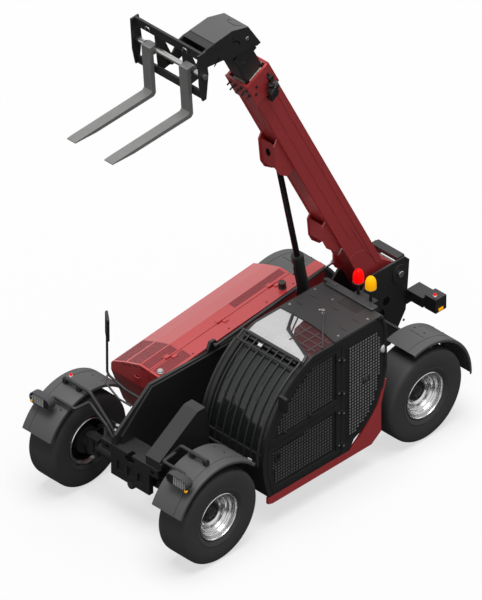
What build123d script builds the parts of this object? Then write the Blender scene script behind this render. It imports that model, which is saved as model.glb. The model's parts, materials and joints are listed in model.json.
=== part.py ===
"""Telehandler: four-wheel steered chassis, side engine, side cab, two-stage boom and a fork carriage.

Lengths are millimetres, angles are degrees. The model is drawn from the ground point below the front
axle: +X is forward, +Y is the machine's left, +Z is up. `save` moves each piece to the row's origin,
the ground point midway between the machine's foremost and rearmost points.
"""
import os
from math import atan2, cos, degrees, hypot, radians, sin, sqrt, tan

from build123d import *

# ---- driving dimensions -------------------------------------------------------------------------
wheel_base = 3020.0
track = 1900.0  # between the tyres' middle planes
front_reach = 750.0  # room for the fork tips ahead of the front axle
rear_reach = 3870.0  # lamp arms behind the front axle

tyre_radius = 537.5
tyre_width = 400.0
rim_radius = 270.0  # over the rim's flanges
rim_width = 340.0
rim_wall = 14.0
hub_radius = 110.0
king_pin_y = 735.0
king_pin_radius = 65.0
yoke_half = 83.0  # half the height between a yoke's ears
yoke_ear = 25.0
drum_radius = 150.0
seat_gap = 0.3  # between seated pieces that are curved or that turn
run_gap = 5.0  # between pieces that move past each other

fender_radius = 662.0
fender_wall = 8.0
fender_lip = 34.0
fender_width = 420.0
arm_radius = 18.0  # tube that carries the fender
front_fender_arc = (25.0, 138.0)  # degrees above the axle's front horizontal
rear_fender_arc = (72.0, 182.0)
fender_arm_angle = 94.0  # where the tube runs under the fender, clear of the steered tyre

plate_inner = 190.0  # frame side plates, distance from the middle plane
plate_wall = 25.0
frame_front = 100.0
frame_rear = -3690.0
frame_bottom = 470.0
frame_arch = 660.0  # underside of the side plates above the axles
pan_wall = 20.0
cross_bar_width = 826.0
cross_bar_bottom = 740.0
cross_bar_top = 845.0
nose_half_width = 280.0
console_outer = 414.0
console_front = 160.0
console_top = 1308.0
rail_wall = 35.0
rail_top = 1330.0
rail_flange = 1345.0
rail_crest = 1362.0
rail_under = 1290.0
rail_foot = 700.0
turret_top = 1545.0
hitch_height = 652.0
hitch_gap = 55.0
hitch_plate = 25.0
hitch_radius = 16.0

boom_pivot_x = -3549.0
boom_pivot_z = 1379.0
boom_angle = 62.7  # above the horizontal, at rest
boom_half_width = 142.5
boom_top = -60.0  # across the boom from the pivot's line, along the boom's own upward normal
boom_bottom = -380.0
boom_wall = 12.0
boom_length = 3990.0
boom_foot = -140.0
collar_length = 330.0
collar_wall = 16.0
pivot_radius = 40.0
pivot_boss = 105.0
inner_half_width = 107.5
inner_top = -97.0
inner_bottom = -343.0
inner_wall = 10.0
inner_tail = 990.0
inner_reach = 510.0  # the inner boom ahead of the outer one, drawn in
pad_length = 90.0

lift_foot_x = -2560.0
lift_foot_z = 750.0
lift_lug_along = 2530.0
lift_lug_across = -462.0
low_lug_along = 1084.0
low_lug_across = -434.0
lift_barrel_radius = 60.0
lift_barrel_length = 1430.0
lift_rod_radius = 32.5
lift_pin_radius = 30.0
lug_wall = 24.0
boom_low = -64.5  # the boom's lowest swing from rest

level_foot_x = -1250.0
level_foot_z = 1420.0
level_eye_along = 484.0
level_eye_across = -413.0
level_y = -168.5
level_radius = 18.5
level_rod_radius = 12.0
level_pin_radius = 12.0
level_rod_show = 122.0  # rod between the barrel and the far eye, at rest

head_half_width = 180.0
head_wall = 20.0
head_reach = 323.0  # carriage pin ahead of the inner boom's end
head_drop = 795.0  # carriage pin below the boom's line
carriage_pin_radius = 30.0
carriage_lean = 3.85  # the carriage leans forward at rest
carriage_half_width = 490.0
carriage_ahead = 180.0  # back of the carriage ahead of its pin
carriage_drop = 80.0  # its lower edge below the pin
carriage_height = 580.0
carriage_wall = 30.0
ear_wall = 18.0
shaft_radius = 30.0
shaft_ahead = 190.0
shaft_up = 210.0
tine_y = 268.0
tine_width = 120.0
tine_thickness = 50.0
tine_length = 1150.0
tine_drop = 300.0  # top of the blades below the carriage pin

cab_inner = 225.0
cab_outer = 1100.0
cab_wall = 45.0
cab_bottom = 390.0
cab_roof = 1850.0
cab_rear = -2420.0
cab_arc_x = -1750.0
cab_arc_z = 820.0
cab_arc_radius = 1090.0
rear_arc_z = 1130.0
rear_arc_radius = 670.0
pillar_x = -1800.0
glass_wall = 6.0
door_gap = 6.0
split_slope = 3.4
split_z = 1064.0  # height of the doors' meeting line at the pillar

bonnet_front = -530.0
bonnet_rear = -2590.0
bonnet_height = 1313.0  # at the front face, along the inner edge
bonnet_slope = 0.103  # rise per length rearwards
bonnet_wall = 25.0
bonnet_inner = 270.0
bonnet_seam = 430.0
bonnet_ridge = 570.0
bonnet_outer = 990.0

front_x = 0.0
rear_x = -wheel_base
row_shift = (rear_reach - front_reach) / 2


# ---- small helpers ------------------------------------------------------------------------------
def save(node, shape):
    """Write one node's STEP file, moved to the row's origin."""
    moved = Pos(row_shift, 0, 0) * shape
    export_step(moved, f"parts/{node}.step")


def block(x, y, z):
    """A box between two values along each axis."""
    middle = Pos((x[0] + x[1]) / 2, (y[0] + y[1]) / 2, (z[0] + z[1]) / 2)
    return middle * Box(abs(x[1] - x[0]), abs(y[1] - y[0]), abs(z[1] - z[0]))


def rod_y(x, z, radius, y):
    """A round bar across the machine between two Y values."""
    return Pos(x, (y[0] + y[1]) / 2, z) * Rot(90, 0, 0) * Cylinder(radius, abs(y[1] - y[0]))


def rod_z(x, y, radius, z):
    return Pos(x, y, (z[0] + z[1]) / 2) * Cylinder(radius, abs(z[1] - z[0]))


def rod_x(y, z, radius, x):
    return Pos((x[0] + x[1]) / 2, y, z) * Rot(0, 90, 0) * Cylinder(radius, abs(x[1] - x[0]))


def side_plate(outline, y):
    """A plate with an outline of (x, z) points, between two Y values."""
    low = min(y)
    face = make_face(Polyline(*[(px, low, pz) for px, pz in outline], close=True))
    return extrude(face, abs(y[1] - y[0]), dir=(0, 1, 0))


def tube(points, radius, bend):
    """A round tube along straight runs with rounded corners."""
    path = FilletPolyline(*points, radius=bend) if len(points) > 2 else Line(*points)
    start = Plane(origin=points[0], z_dir=Vector(*points[1]) - Vector(*points[0]))
    return sweep(start * Circle(radius), path=path)


def on_boom(shape):
    """Place a shape drawn along +X, with +Z as the boom's upper side, at the boom's rest angle."""
    return Pos(boom_pivot_x, 0, boom_pivot_z) * Rot(0, -boom_angle, 0) * shape


def boom_point(along, across):
    """The (x, z) place of a point given along and across the boom."""
    turn = radians(boom_angle)
    return (boom_pivot_x + along * cos(turn) - across * sin(turn),
            boom_pivot_z + along * sin(turn) + across * cos(turn))


os.makedirs("parts", exist_ok=True)

# ---- wheels -------------------------------------------------------------------------------------
tyre_seat = rim_radius - 22.0
bead = rim_width / 2 - 16.0


def tyre_profile():
    """Half section of a tyre in (radius, across) about the wheel's middle plane."""
    half = tyre_width / 2
    shoulder = 45.0
    inner = tyre_seat + seat_gap
    points = [
        (inner, -bead), (rim_radius + 8, -bead), (rim_radius + 70, -half), (tyre_radius - shoulder, -half),
        (tyre_radius, -half + shoulder), (tyre_radius, half - shoulder), (tyre_radius - shoulder, half),
        (rim_radius + 70, half), (rim_radius + 8, bead), (inner, bead),
    ]
    return points


def build_tyre():
    profile = [(radius, across, 0) for radius, across in tyre_profile()]
    return revolve(make_face(Polyline(*profile, close=True)), Axis.Y)


def build_rim(side):
    """Dished rim with its hub cap; side is 1 where the outer face points left and -1 where right."""
    half = rim_width / 2
    barrel_inner = tyre_seat - rim_wall
    disc_back = 10.0
    outline = [
        (tyre_seat, bead + seat_gap), (rim_radius, bead + seat_gap),
        (rim_radius, half), (barrel_inner + 6, half), (barrel_inner, half - 30), (barrel_inner - 14, disc_back + 60),
        (180, disc_back + 40), (170, disc_back + 26), (hub_radius + 12, disc_back + 26), (hub_radius, disc_back + 44),
        (hub_radius - 16, disc_back + 54), (0, disc_back + 54), (0, disc_back),
        (barrel_inner - 14, disc_back + 44), (barrel_inner, disc_back), (barrel_inner, -half),
        (rim_radius, -half), (rim_radius, -bead - seat_gap), (tyre_seat, -bead - seat_gap),
    ]
    points = [(radius, side * across, 0) for radius, across in outline]
    return revolve(make_face(Polyline(*points, close=True)), Axis.Y)


def build_fender(arc, axle_x, side):
    """Curved mudguard with turned-down edges over one wheel."""
    inner_edge = track / 2 - fender_width / 2
    outer_edge = track / 2 + fender_width / 2
    top = fender_radius
    under = fender_radius - fender_wall
    lip = fender_radius - fender_lip
    section = [
        (lip, inner_edge), (top, inner_edge), (top, outer_edge), (lip, outer_edge),
        (lip, outer_edge - fender_wall), (under, outer_edge - fender_wall),
        (under, inner_edge + fender_wall), (lip, inner_edge + fender_wall),
    ]
    face = make_face(Polyline(*[(radius, side * across, 0) for radius, across in section], close=True))
    turned = revolve(face, Axis.Y, arc[1] - arc[0])
    return Pos(axle_x, 0, tyre_radius) * Rot(0, -arc[1], 0) * turned


def build_knuckle(axle_x, side):
    """King-pin housing, brake drum and spindle."""
    reach = yoke_half - seat_gap
    pin = rod_z(axle_x, side * king_pin_y, king_pin_radius, (tyre_radius - reach, tyre_radius + reach))
    drum = rod_y(axle_x, tyre_radius, drum_radius, (side * (king_pin_y + 68), side * (track / 2 - 60)))
    spindle = rod_y(axle_x, tyre_radius, 70, (side * king_pin_y, side * (track / 2 + 10 - seat_gap)))
    return pin + drum + spindle


def build_axle(axle_x):
    """Axle beam with a centre drive housing and a yoke round each king pin."""
    housing = Pos(axle_x, 0, tyre_radius) * Sphere(135)
    housing &= block((axle_x - 110, axle_x + 110), (-170, 170), (tyre_radius - 120, tyre_radius + 120))
    beam = rod_y(axle_x, tyre_radius, 68, (-king_pin_y + 105, king_pin_y - 105))
    axle = housing + beam
    for side in (1, -1):
        for level in (-1, 1):
            ear_z = (tyre_radius + level * yoke_half, tyre_radius + level * (yoke_half + yoke_ear))
            axle += rod_z(axle_x, side * king_pin_y, king_pin_radius - 3, ear_z)
            axle += block((axle_x - 55, axle_x + 55), (side * (king_pin_y - 130), side * king_pin_y), ear_z)
        axle += block((axle_x - 55, axle_x + 55), (side * (king_pin_y - 135), side * (king_pin_y - 95)),
                      (tyre_radius - yoke_half - yoke_ear, tyre_radius + yoke_half + yoke_ear))
        axle += block((axle_x - 60, axle_x + 60), (side * plate_inner, side * (plate_inner + plate_wall)),
                      (tyre_radius, frame_arch))
    return axle


wheel_table = [  # name, axle position, side, fender arc
    ("front_left", front_x, 1, front_fender_arc),
    ("front_right", front_x, -1, front_fender_arc),
    ("rear_left", rear_x, 1, rear_fender_arc),
    ("rear_right", rear_x, -1, rear_fender_arc),
]
tyre = build_tyre()
for name, axle_x, side, arc in wheel_table:
    hub_place = Pos(axle_x, side * track / 2, tyre_radius)
    save(f"tyre_{name}", hub_place * tyre)
    save(f"rim_{name}", hub_place * build_rim(side))
    save(f"fender_{name}", build_fender(arc, axle_x, side))
    save(f"knuckle_{name}", build_knuckle(axle_x, side))
save("axles", Compound([build_axle(front_x), build_axle(rear_x)]))

# a straight tube from the frame under each rear fender's lips
arm_angle = radians(fender_arm_angle)
arm_reach = fender_radius - fender_lip - arm_radius - seat_gap
arm_place = (rear_x + arm_reach * cos(arm_angle), tyre_radius + arm_reach * sin(arm_angle))
fender_arms = []
for side in (1, -1):
    arm_y = (side * (plate_inner + plate_wall + seat_gap), side * (track + fender_width) / 2)
    fender_arms.append(rod_y(*arm_place, arm_radius, arm_y))
save("fender_arms", Compound(fender_arms))

# ---- frame --------------------------------------------------------------------------------------
plate_outer = plate_inner + plate_wall
pivot_hole = pivot_radius + seat_gap


def frame_outline(top_line):
    """Outline of a side plate: the given upper points from front to rear, then the underside."""
    arch = 150.0
    under = [
        (frame_rear + 170, 670), (frame_rear + 260, frame_bottom + 60),
        (rear_x - arch, frame_bottom + 60), (rear_x - arch, frame_arch), (rear_x + arch, frame_arch),
        (rear_x + arch, frame_bottom), (front_x - arch - 20, frame_bottom), (front_x - arch - 20, frame_arch),
        (frame_front, frame_arch),
    ]
    return top_line + under


crest_x = -338.0  # where the right rail's ramp meets its level run
rail_bend_x = -1167.0
inside_top = 1000.0  # top of the left plate beside the cab
ramp_foot = 930.0
turret_line = [
    (rear_x + 90, rail_top), (rear_x - 110, turret_top - 15), (rear_x - 180, turret_top), (frame_rear + 50, turret_top),
    (frame_rear - 10, turret_top - 60), (frame_rear + 10, turret_top - 345), (frame_rear + 40, frame_arch + 210),
]
left_line = [(frame_front, ramp_foot - 90), (crest_x - 82, inside_top), (rear_x + 320, inside_top)] + turret_line
right_line = [(frame_front, ramp_foot), (crest_x, rail_crest - 22), (rail_bend_x, rail_top)] + turret_line
pivot_bore = rod_y(boom_pivot_x, boom_pivot_z, pivot_hole, (-400, 400))
foot_bore = rod_y(lift_foot_x, lift_foot_z, lift_pin_radius + seat_gap, (-400, 400))
cab_mounts = [(x, z) for x in (cab_arc_x + 750, cab_arc_x - 50) for z in (cab_bottom + 170, inside_top - 60)]
side_plates = []
for side, line in ((1, left_line), (-1, right_line)):
    plate = side_plate(frame_outline(line), (side * plate_inner, side * plate_outer))
    plate += rod_y(boom_pivot_x, boom_pivot_z, pivot_boss, (side * plate_outer, side * (plate_outer + 15)))
    plate -= pivot_bore
    plate -= foot_bore
    if side > 0:
        for mount_x, mount_z in cab_mounts:
            plate += block((mount_x - 40, mount_x + 40), (plate_outer, cab_inner), (mount_z - 40, mount_z + 40))
    side_plates.append(plate)
save("side_plates", Compound(side_plates))

# rails outside the plates: a ramp console on the left, a long flanged box on the right
rail_low = cross_bar_top + seat_gap
rail_seat = [(frame_front - seat_gap, rail_foot), (frame_front - seat_gap, rail_low)]
left_ramp = rail_seat + [
    (console_front, rail_low), (console_front, rail_low + 98), (crest_x - 57, console_top),
    (crest_x - 172, console_top), (crest_x - 222, inside_top + 10), (crest_x - 222, rail_foot),
]
right_box = rail_seat + [
    (console_front + 5, rail_low), (console_front + 5, rail_low + 126), (crest_x, rail_crest),
    (rail_bend_x, rail_flange), (rear_x + 120, rail_flange), (rear_x + 120, rail_under),
    (crest_x - 22, rail_under), (frame_front - 160, inside_top + 10), (frame_front - 160, rail_foot),
]
rail_outer = plate_outer + rail_wall
right_rail = side_plate(right_box, (-rail_outer, -plate_outer))
foot_base = [(level_foot_x - 90, rail_flange - 5), (level_foot_x + 90, rail_flange - 5),
             (level_foot_x + 35, level_foot_z + 34), (level_foot_x - 35, level_foot_z + 34)]
right_rail += side_plate(foot_base, (-rail_outer, -plate_outer))
right_rail += rod_y(level_foot_x, level_foot_z, level_pin_radius, (-rail_outer, level_y + level_radius))
save("rails", Compound([side_plate(left_ramp, (plate_outer, console_outer)), right_rail]))

pan = block((rear_x + 160, front_x - 180), (-plate_outer, plate_outer), (frame_bottom - pan_wall, frame_bottom))
save("frame_pan", pan)

bar_x = (frame_front, frame_front + 80)
bar_middle = (cross_bar_bottom + cross_bar_top) / 2
front_bar = block(bar_x, (-cross_bar_width / 2, cross_bar_width / 2), (cross_bar_bottom, cross_bar_top))
front_bar -= Pos(bar_x[1], 0, bar_middle) * Rot(0, 90, 0) * extrude(SlotOverall(150, 60), 200, both=True)
nose_x = (frame_front + 15, frame_front + 75)
nose = block(nose_x, (-nose_half_width, nose_half_width), (frame_bottom, cross_bar_bottom))
for slot_y in (-150, 0, 150):
    nose -= block((nose_x[1] - 20, nose_x[1] + 1), (slot_y - 45, slot_y + 45), (frame_bottom + 90, cross_bar_bottom - 60))
step_box = block((front_x - 90, frame_front), (-plate_inner, plate_inner), (frame_arch, cross_bar_top - 10))
save("front_cross_bar", front_bar + nose + step_box)

turret_cross = block((frame_rear + 40, frame_rear + 145), (-plate_inner, plate_inner), (turret_top - 30, turret_top + 15))
wall_x = (frame_rear + 130, frame_rear + 130 + plate_wall)
rear_wall = block(wall_x, (-plate_inner, plate_inner), (hitch_height - 92, frame_arch + 300))
pivot_pin = rod_y(boom_pivot_x, boom_pivot_z, pivot_radius, (-plate_outer - 30, plate_outer + 30))
foot_pin = rod_y(lift_foot_x, lift_foot_z, lift_pin_radius, (-plate_outer, plate_outer))
save("frame_pins", Compound([pivot_pin, foot_pin]))

# tow hitch with an upright pin hole, its pin left out
hitch_x = frame_rear + 10
hitch = block((wall_x[0] - 25, wall_x[0]), (-90, 90), (hitch_height - 72, hitch_height + 73))
for jaw in (hitch_height - hitch_gap / 2 - hitch_plate, hitch_height + hitch_gap / 2):
    jaw_z = (jaw, jaw + hitch_plate)
    hitch += block((hitch_x, wall_x[0]), (-60, 60), jaw_z) + rod_z(hitch_x, 0, 60, jaw_z)
hitch -= rod_z(hitch_x, 0, hitch_radius, (hitch_height - 150, hitch_height + 150))
save("turret_braces", Compound([turret_cross, rear_wall + hitch]))

# ---- boom ---------------------------------------------------------------------------------------
inner_end = boom_length + inner_reach
hollow_start = 560.0
lug_inner = lift_barrel_radius + 8 + 6  # past the barrel's end ring
lug_outer = lug_inner + lug_wall
outer_body = block((boom_foot + 140, boom_length), (-boom_half_width, boom_half_width), (boom_bottom, boom_top))
ear = side_plate(
    [(0, pivot_boss - 20), (300, boom_top), (300, boom_bottom), (60, boom_bottom), (-95, -180), (-85, 0)],
    (-boom_half_width, boom_half_width))
ear += rod_y(0, 0, pivot_boss - 20, (-boom_half_width, boom_half_width))
collar = block((boom_length - collar_length, boom_length),
               (-boom_half_width - collar_wall, boom_half_width + collar_wall),
               (boom_bottom - collar_wall, boom_top + collar_wall))
outer_body = outer_body + ear + collar
outer_body -= block((hollow_start, boom_length + 10),
                    (-boom_half_width + boom_wall, boom_half_width - boom_wall),
                    (boom_bottom + boom_wall, boom_top - boom_wall))
outer_body += rod_y(0, 0, pivot_boss - 20, (-plate_inner + run_gap, plate_inner - run_gap))
outer_body -= rod_y(0, 0, pivot_radius + seat_gap, (-400, 400))
for along, across in ((lift_lug_along, lift_lug_across), (low_lug_along, low_lug_across)):
    for side in (1, -1):
        cheek = side_plate([(along - 150, boom_bottom), (along + 150, boom_bottom), (along + 55, across - 45),
                            (along - 55, across - 45)], (side * lug_inner, side * lug_outer))
        cheek += rod_y(along, across, lift_pin_radius + 8, (side * lug_outer, side * (lug_outer + 12)))
        outer_body += cheek
outer_body += rod_y(low_lug_along, low_lug_across, lift_pin_radius, (-lug_outer, lug_outer))
level_lug = side_plate([(level_eye_along - 150, boom_bottom), (level_eye_along + 150, boom_bottom),
                        (level_eye_along + 35, level_eye_across - 25), (level_eye_along - 35, level_eye_across - 25)],
                       (-boom_half_width, -boom_half_width + 30))
outer_body += level_lug
save("boom_outer", on_boom(outer_body))

pads = []
pad_x = (boom_length - pad_length - 10, boom_length - 10)
side_pad = (inner_half_width + seat_gap, boom_half_width - boom_wall)
for side in (1, -1):
    pads.append(block(pad_x, (side * side_pad[0], side * side_pad[1]), (inner_bottom + 30, inner_top - 30)))
pads.append(block(pad_x, (-80, 80), (inner_top + seat_gap, boom_top - boom_wall)))
pads.append(block(pad_x, (-80, 80), (boom_bottom + boom_wall, inner_bottom - seat_gap)))
save("wear_pads", Compound([on_boom(pad) for pad in pads]))

inner_body = block((inner_tail, inner_end), (-inner_half_width, inner_half_width), (inner_bottom, inner_top))
inner_body -= block((inner_tail - 10, inner_end - 60),
                    (-inner_half_width + inner_wall, inner_half_width - inner_wall),
                    (inner_bottom + inner_wall, inner_top - inner_wall))
tail_x = (inner_tail, inner_tail + pad_length)
slide_gap = boom_wall + 0.5
for side in (1, -1):
    inner_body += block(tail_x, (side * inner_half_width, side * (boom_half_width - slide_gap)),
                        (inner_bottom + 40, inner_top - 40))
inner_body += block(tail_x, (-70, 70), (inner_top, boom_top - slide_gap))
inner_body += block(tail_x, (-70, 70), (boom_bottom + slide_gap, inner_bottom))
save("boom_inner", on_boom(inner_body))

# head at the inner boom's end: two drop plates joined by a folded cover, drawn from the inner boom's end
carriage_pin_x, carriage_pin_z = boom_point(inner_end + head_reach, -head_drop)
head_inner = head_half_width - head_wall
ear_y = (head_half_width + 6, head_half_width + 6 + ear_wall)


def on_head(shape):
    """Place a shape drawn ahead of the inner boom's end, along and across the boom."""
    return on_boom(Pos(inner_end, 0, 0) * shape)


head_outline = [(161, -46), (-159, -15), (-151, -66), (-104, -112), (24, -382), (131, -489), (241, -658),
                (head_reach - 60, -head_drop), (head_reach + 60, -head_drop), (457, -640), (445, -564), (322, -228)]
nose_radius = 60.0
head = side_plate([(161, -46), (322, -228), (445, -564), (432, -570), (309, -234), (154, -59)],
                  (-head_half_width, head_half_width))
head += side_plate([(140, -462), (268, -655), (281, -648), (153, -456)], (-head_half_width, head_half_width))
for side in (1, -1):
    cheek_y = (side * head_inner, side * head_half_width)
    head += side_plate(head_outline, cheek_y) + rod_y(head_reach, -head_drop, nose_radius, cheek_y)
bracket = block((-190, -40), (-head_inner, head_inner), (inner_bottom - 20, inner_top + 20))
bracket -= block((-200, 0), (-inner_half_width - seat_gap, inner_half_width + seat_gap),
                 (inner_bottom - seat_gap, inner_top + seat_gap))
head += bracket
head += rod_y(head_reach, -head_drop, carriage_pin_radius, (-ear_y[1] - 10, ear_y[1] + 10))
save("boom_head", on_head(head))

# ---- lift cylinder ------------------------------------------------------------------------------
lift_eye_x, lift_eye_z = boom_point(lift_lug_along, lift_lug_across)
lift_angle = degrees(atan2(lift_eye_z - lift_foot_z, lift_eye_x - lift_foot_x))
lift_length = hypot(lift_eye_x - lift_foot_x, lift_eye_z - lift_foot_z)


low_turn = radians(boom_angle + boom_low)
low_eye_x = boom_pivot_x + lift_lug_along * cos(low_turn) - lift_lug_across * sin(low_turn)
low_eye_z = boom_pivot_z + lift_lug_along * sin(low_turn) + lift_lug_across * cos(low_turn)
lift_closed = hypot(low_eye_x - lift_foot_x, low_eye_z - lift_foot_z)


def on_lift(shape):
    """Place a shape drawn along +X from the cylinder's foot pin."""
    return Pos(lift_foot_x, 0, lift_foot_z) * Rot(0, -lift_angle, 0) * shape


eye_radius = 46.0
piston_length = 40.0
barrel_floor = 80.0
rod_bore = lift_rod_radius + 0.5
barrel = rod_x(0, 0, lift_barrel_radius, (45, lift_barrel_length)) + rod_y(0, 0, eye_radius + 20, (-50, 50))
barrel += rod_x(0, 0, lift_barrel_radius + 8, (lift_barrel_length - 90, lift_barrel_length - 10))
barrel -= rod_x(0, 0, lift_barrel_radius - 12, (barrel_floor, lift_barrel_length - 60))
barrel -= rod_x(0, 0, rod_bore, (barrel_floor, lift_barrel_length + 10))
barrel -= rod_y(0, 0, lift_pin_radius + seat_gap, (-100, 100))
save("lift_barrel", on_lift(barrel))
piston_start = barrel_floor + run_gap + lift_length - lift_closed
rod = rod_x(0, 0, lift_rod_radius, (piston_start, lift_length - 30))
rod += rod_x(0, 0, lift_barrel_radius - 12.5, (piston_start, piston_start + piston_length))
rod += rod_y(lift_length, 0, eye_radius, (-lug_inner + 6, lug_inner - 6))
rod += rod_y(lift_length, 0, lift_pin_radius, (-lug_inner + seat_gap, lug_inner - seat_gap))
save("lift_rod", on_lift(rod))

# ---- levelling cylinder beside the boom's foot --------------------------------------------------
level_eye_x, level_eye_z = boom_point(level_eye_along, level_eye_across)
level_length = hypot(level_eye_x - level_foot_x, level_eye_z - level_foot_z)
level_angle = degrees(atan2(level_eye_z - level_foot_z, level_eye_x - level_foot_x))


def on_level(shape):
    """Place a shape drawn along +X from the levelling cylinder's foot pin."""
    return Pos(level_foot_x, level_y, level_foot_z) * Rot(0, -level_angle, 0) * shape


level_barrel_length = level_length - level_rod_show
level_barrel = rod_x(0, 0, level_radius, (15, level_barrel_length)) + rod_y(0, 0, 24, (-18, 18))
level_barrel -= rod_x(0, 0, level_rod_radius + 0.5, (100, level_barrel_length + 10))
level_barrel -= rod_y(0, 0, level_pin_radius + seat_gap, (-50, 50))
save("level_barrel", on_level(level_barrel))
level_rod = rod_x(0, 0, level_rod_radius, (level_barrel_length - 300, level_length - 15))
level_rod += rod_y(level_length, 0, 24, (-17, 17))
level_rod += rod_y(level_length, 0, level_pin_radius, (0, -boom_half_width - seat_gap - level_y))
save("level_rod", on_level(level_rod))

# ---- carriage and forks -------------------------------------------------------------------------


def on_carriage(shape):
    """Place a shape drawn from the carriage pin, leaning forward about it."""
    return Pos(carriage_pin_x, 0, carriage_pin_z) * Rot(0, carriage_lean, 0) * shape


carriage_low = -carriage_drop
carriage_top = carriage_height - carriage_drop
carriage_front = carriage_ahead + carriage_wall
shaft_hole = rod_y(shaft_ahead, shaft_up, shaft_radius + seat_gap, (-600, 600))
width = (-carriage_half_width, carriage_half_width)
carriage = block((carriage_ahead, carriage_front), width, (carriage_top - 100, carriage_top))
carriage += block((carriage_ahead, carriage_front), width, (carriage_low, carriage_low + 90))
side_outline = [(carriage_ahead, carriage_low), (carriage_ahead + 50, carriage_low),
                (carriage_ahead + 80, shaft_up - 90), (carriage_ahead + 80, carriage_top),
                (carriage_ahead - 30, carriage_top), (carriage_ahead - 50, shaft_up)]
ear_outline = [(carriage_front, carriage_top), (carriage_ahead, carriage_low), (0, -nose_radius),
               (0, nose_radius), (carriage_ahead - 40, carriage_top - 60)]
for side in (1, -1):
    carriage += side_plate(side_outline, (side * (carriage_half_width - 20), side * carriage_half_width))
    ear = (side * ear_y[0], side * ear_y[1])
    carriage += side_plate(ear_outline, ear) + rod_y(0, 0, nose_radius, ear)
carriage -= shaft_hole
carriage -= rod_y(0, 0, carriage_pin_radius + seat_gap, (-600, 600))
save("fork_carriage", on_carriage(carriage))
shaft_end = carriage_half_width + 25
save("fork_shaft", on_carriage(rod_y(shaft_ahead, shaft_up, shaft_radius, (-shaft_end, shaft_end))))
shank_back = carriage_front + 15
shank_front = shank_back + tine_thickness
blade_top = -tine_drop
blade_under = blade_top - tine_thickness
blade_end = shank_back + tine_length
hook_radius = shaft_radius + 24
tine_outline = [
    (shank_back, shaft_up), (shank_back, blade_under + 30), (shank_back + 30, blade_under),
    (blade_end - 300, blade_under + 8), (blade_end, blade_top - 14), (blade_end, blade_top - 4),
    (blade_end - 60, blade_top), (shank_front + 25, blade_top), (shank_front, blade_top + 25),
    (shank_front, shaft_up + hook_radius),
]
tines = []
for side in (1, -1):
    y = (side * (tine_y - tine_width / 2), side * (tine_y + tine_width / 2))
    tine = side_plate(tine_outline, y) + rod_y(shaft_ahead, shaft_up, hook_radius, y)
    tine += block((shaft_ahead, shank_front), y, (shaft_up - hook_radius + 4, shaft_up + hook_radius))
    tines.append(on_carriage(tine - shaft_hole))
save("fork_tines", Compound(tines))

# ---- cab ----------------------------------------------------------------------------------------


def cab_face(inset, y):
    """The cab's side outline, inset by a wall, as a face at y."""
    radius = cab_arc_radius - inset
    low = cab_bottom + inset
    top = cab_roof - inset
    rear = cab_rear + inset
    front_low = (cab_arc_x + sqrt(radius ** 2 - (low - cab_arc_z) ** 2), low)
    front_top = (cab_arc_x + sqrt(radius ** 2 - (top - cab_arc_z) ** 2), top)
    front_mid = (cab_arc_x + radius * cos(radians(30)), cab_arc_z + radius * sin(radians(30)))
    back_radius = rear_arc_radius - inset
    end_angle = radians(249)
    back_low = (cab_arc_x + back_radius * cos(end_angle), rear_arc_z + back_radius * sin(end_angle))
    back_mid = (cab_arc_x + back_radius * cos(radians(215)), rear_arc_z + back_radius * sin(radians(215)))

    def at(point):
        return (point[0], y, point[1])

    roof_rear = (rear + 110, top)
    edges = [
        ThreePointArc(at(front_low), at(front_mid), at(front_top)),
        Line(at(front_top), at(roof_rear)),
        Line(at(roof_rear), at((rear, top - 160))),
        Line(at((rear, top - 160)), at((cab_arc_x - back_radius, rear_arc_z))),
        ThreePointArc(at((cab_arc_x - back_radius, rear_arc_z)), at(back_mid), at(back_low)),
        Line(at(back_low), at((back_low[0] + 70, low))),
        Line(at((back_low[0] + 70, low)), at(front_low)),
    ]
    return make_face(edges)


def cab_solid(inset, y):
    return extrude(cab_face(inset, y[0]), y[1] - y[0], dir=(0, 1, 0))


def front_sector(inner, outer, y, start, end):
    """Part of the cab's curved front between two angles and two radii."""
    section = make_face(Polyline((inner, y[0], 0), (outer, y[0], 0), (outer, y[1], 0), (inner, y[1], 0), close=True))
    return Pos(cab_arc_x, 0, cab_arc_z) * Rot(0, -end, 0) * revolve(section, Axis.Y, end - start)


glass_y = (cab_inner + 45, cab_outer - 45)
door_radius = 1030.0


def door_outline(gap):
    """Face of both doors together, grown inwards by gap."""
    radius = door_radius - gap
    low = cab_bottom + 20 + gap
    top = cab_roof - 70 - gap
    back = pillar_x - gap
    front_low = (cab_arc_x + sqrt(radius ** 2 - (low - cab_arc_z) ** 2), low)
    front_top = (cab_arc_x + sqrt(radius ** 2 - (top - cab_arc_z) ** 2), top)
    front_mid = (cab_arc_x + radius * cos(radians(25)), cab_arc_z + radius * sin(radians(25)))
    return front_low, front_mid, front_top, (pillar_x + gap, top), (pillar_x + gap, low)


def door_solid(gap, y):
    low, mid, top, back_top, back_low = [(px, y[0], pz) for px, pz in door_outline(gap)]
    face = make_face([ThreePointArc(low, mid, top), Line(top, back_top), Line(back_top, back_low), Line(back_low, low)])
    return extrude(face, y[1] - y[0], dir=(0, 1, 0))


def split_wedge(gap, above):
    """Everything above or below the doors' meeting line."""
    slope = tan(radians(split_slope))
    far = 1400.0
    left_z = split_z + slope * far / 2
    right_z = split_z - slope * far * 1.5
    shift = gap if above else -gap
    edge = 3000.0 if above else -1000.0
    outline = [(pillar_x - far / 2, left_z + shift), (pillar_x + far * 1.5, right_z + shift),
               (pillar_x + far * 1.5, edge), (pillar_x - far / 2, edge)]
    return side_plate(outline, (cab_outer - 300, cab_outer + 300))


hinge_radius = 12.0
hinge_y = cab_outer + hinge_radius + 0.5
hinge_half = 35.0
hinge_rows = {"door_upper": (1180.0, 1600.0), "door_lower": (520.0, 930.0)}


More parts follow.
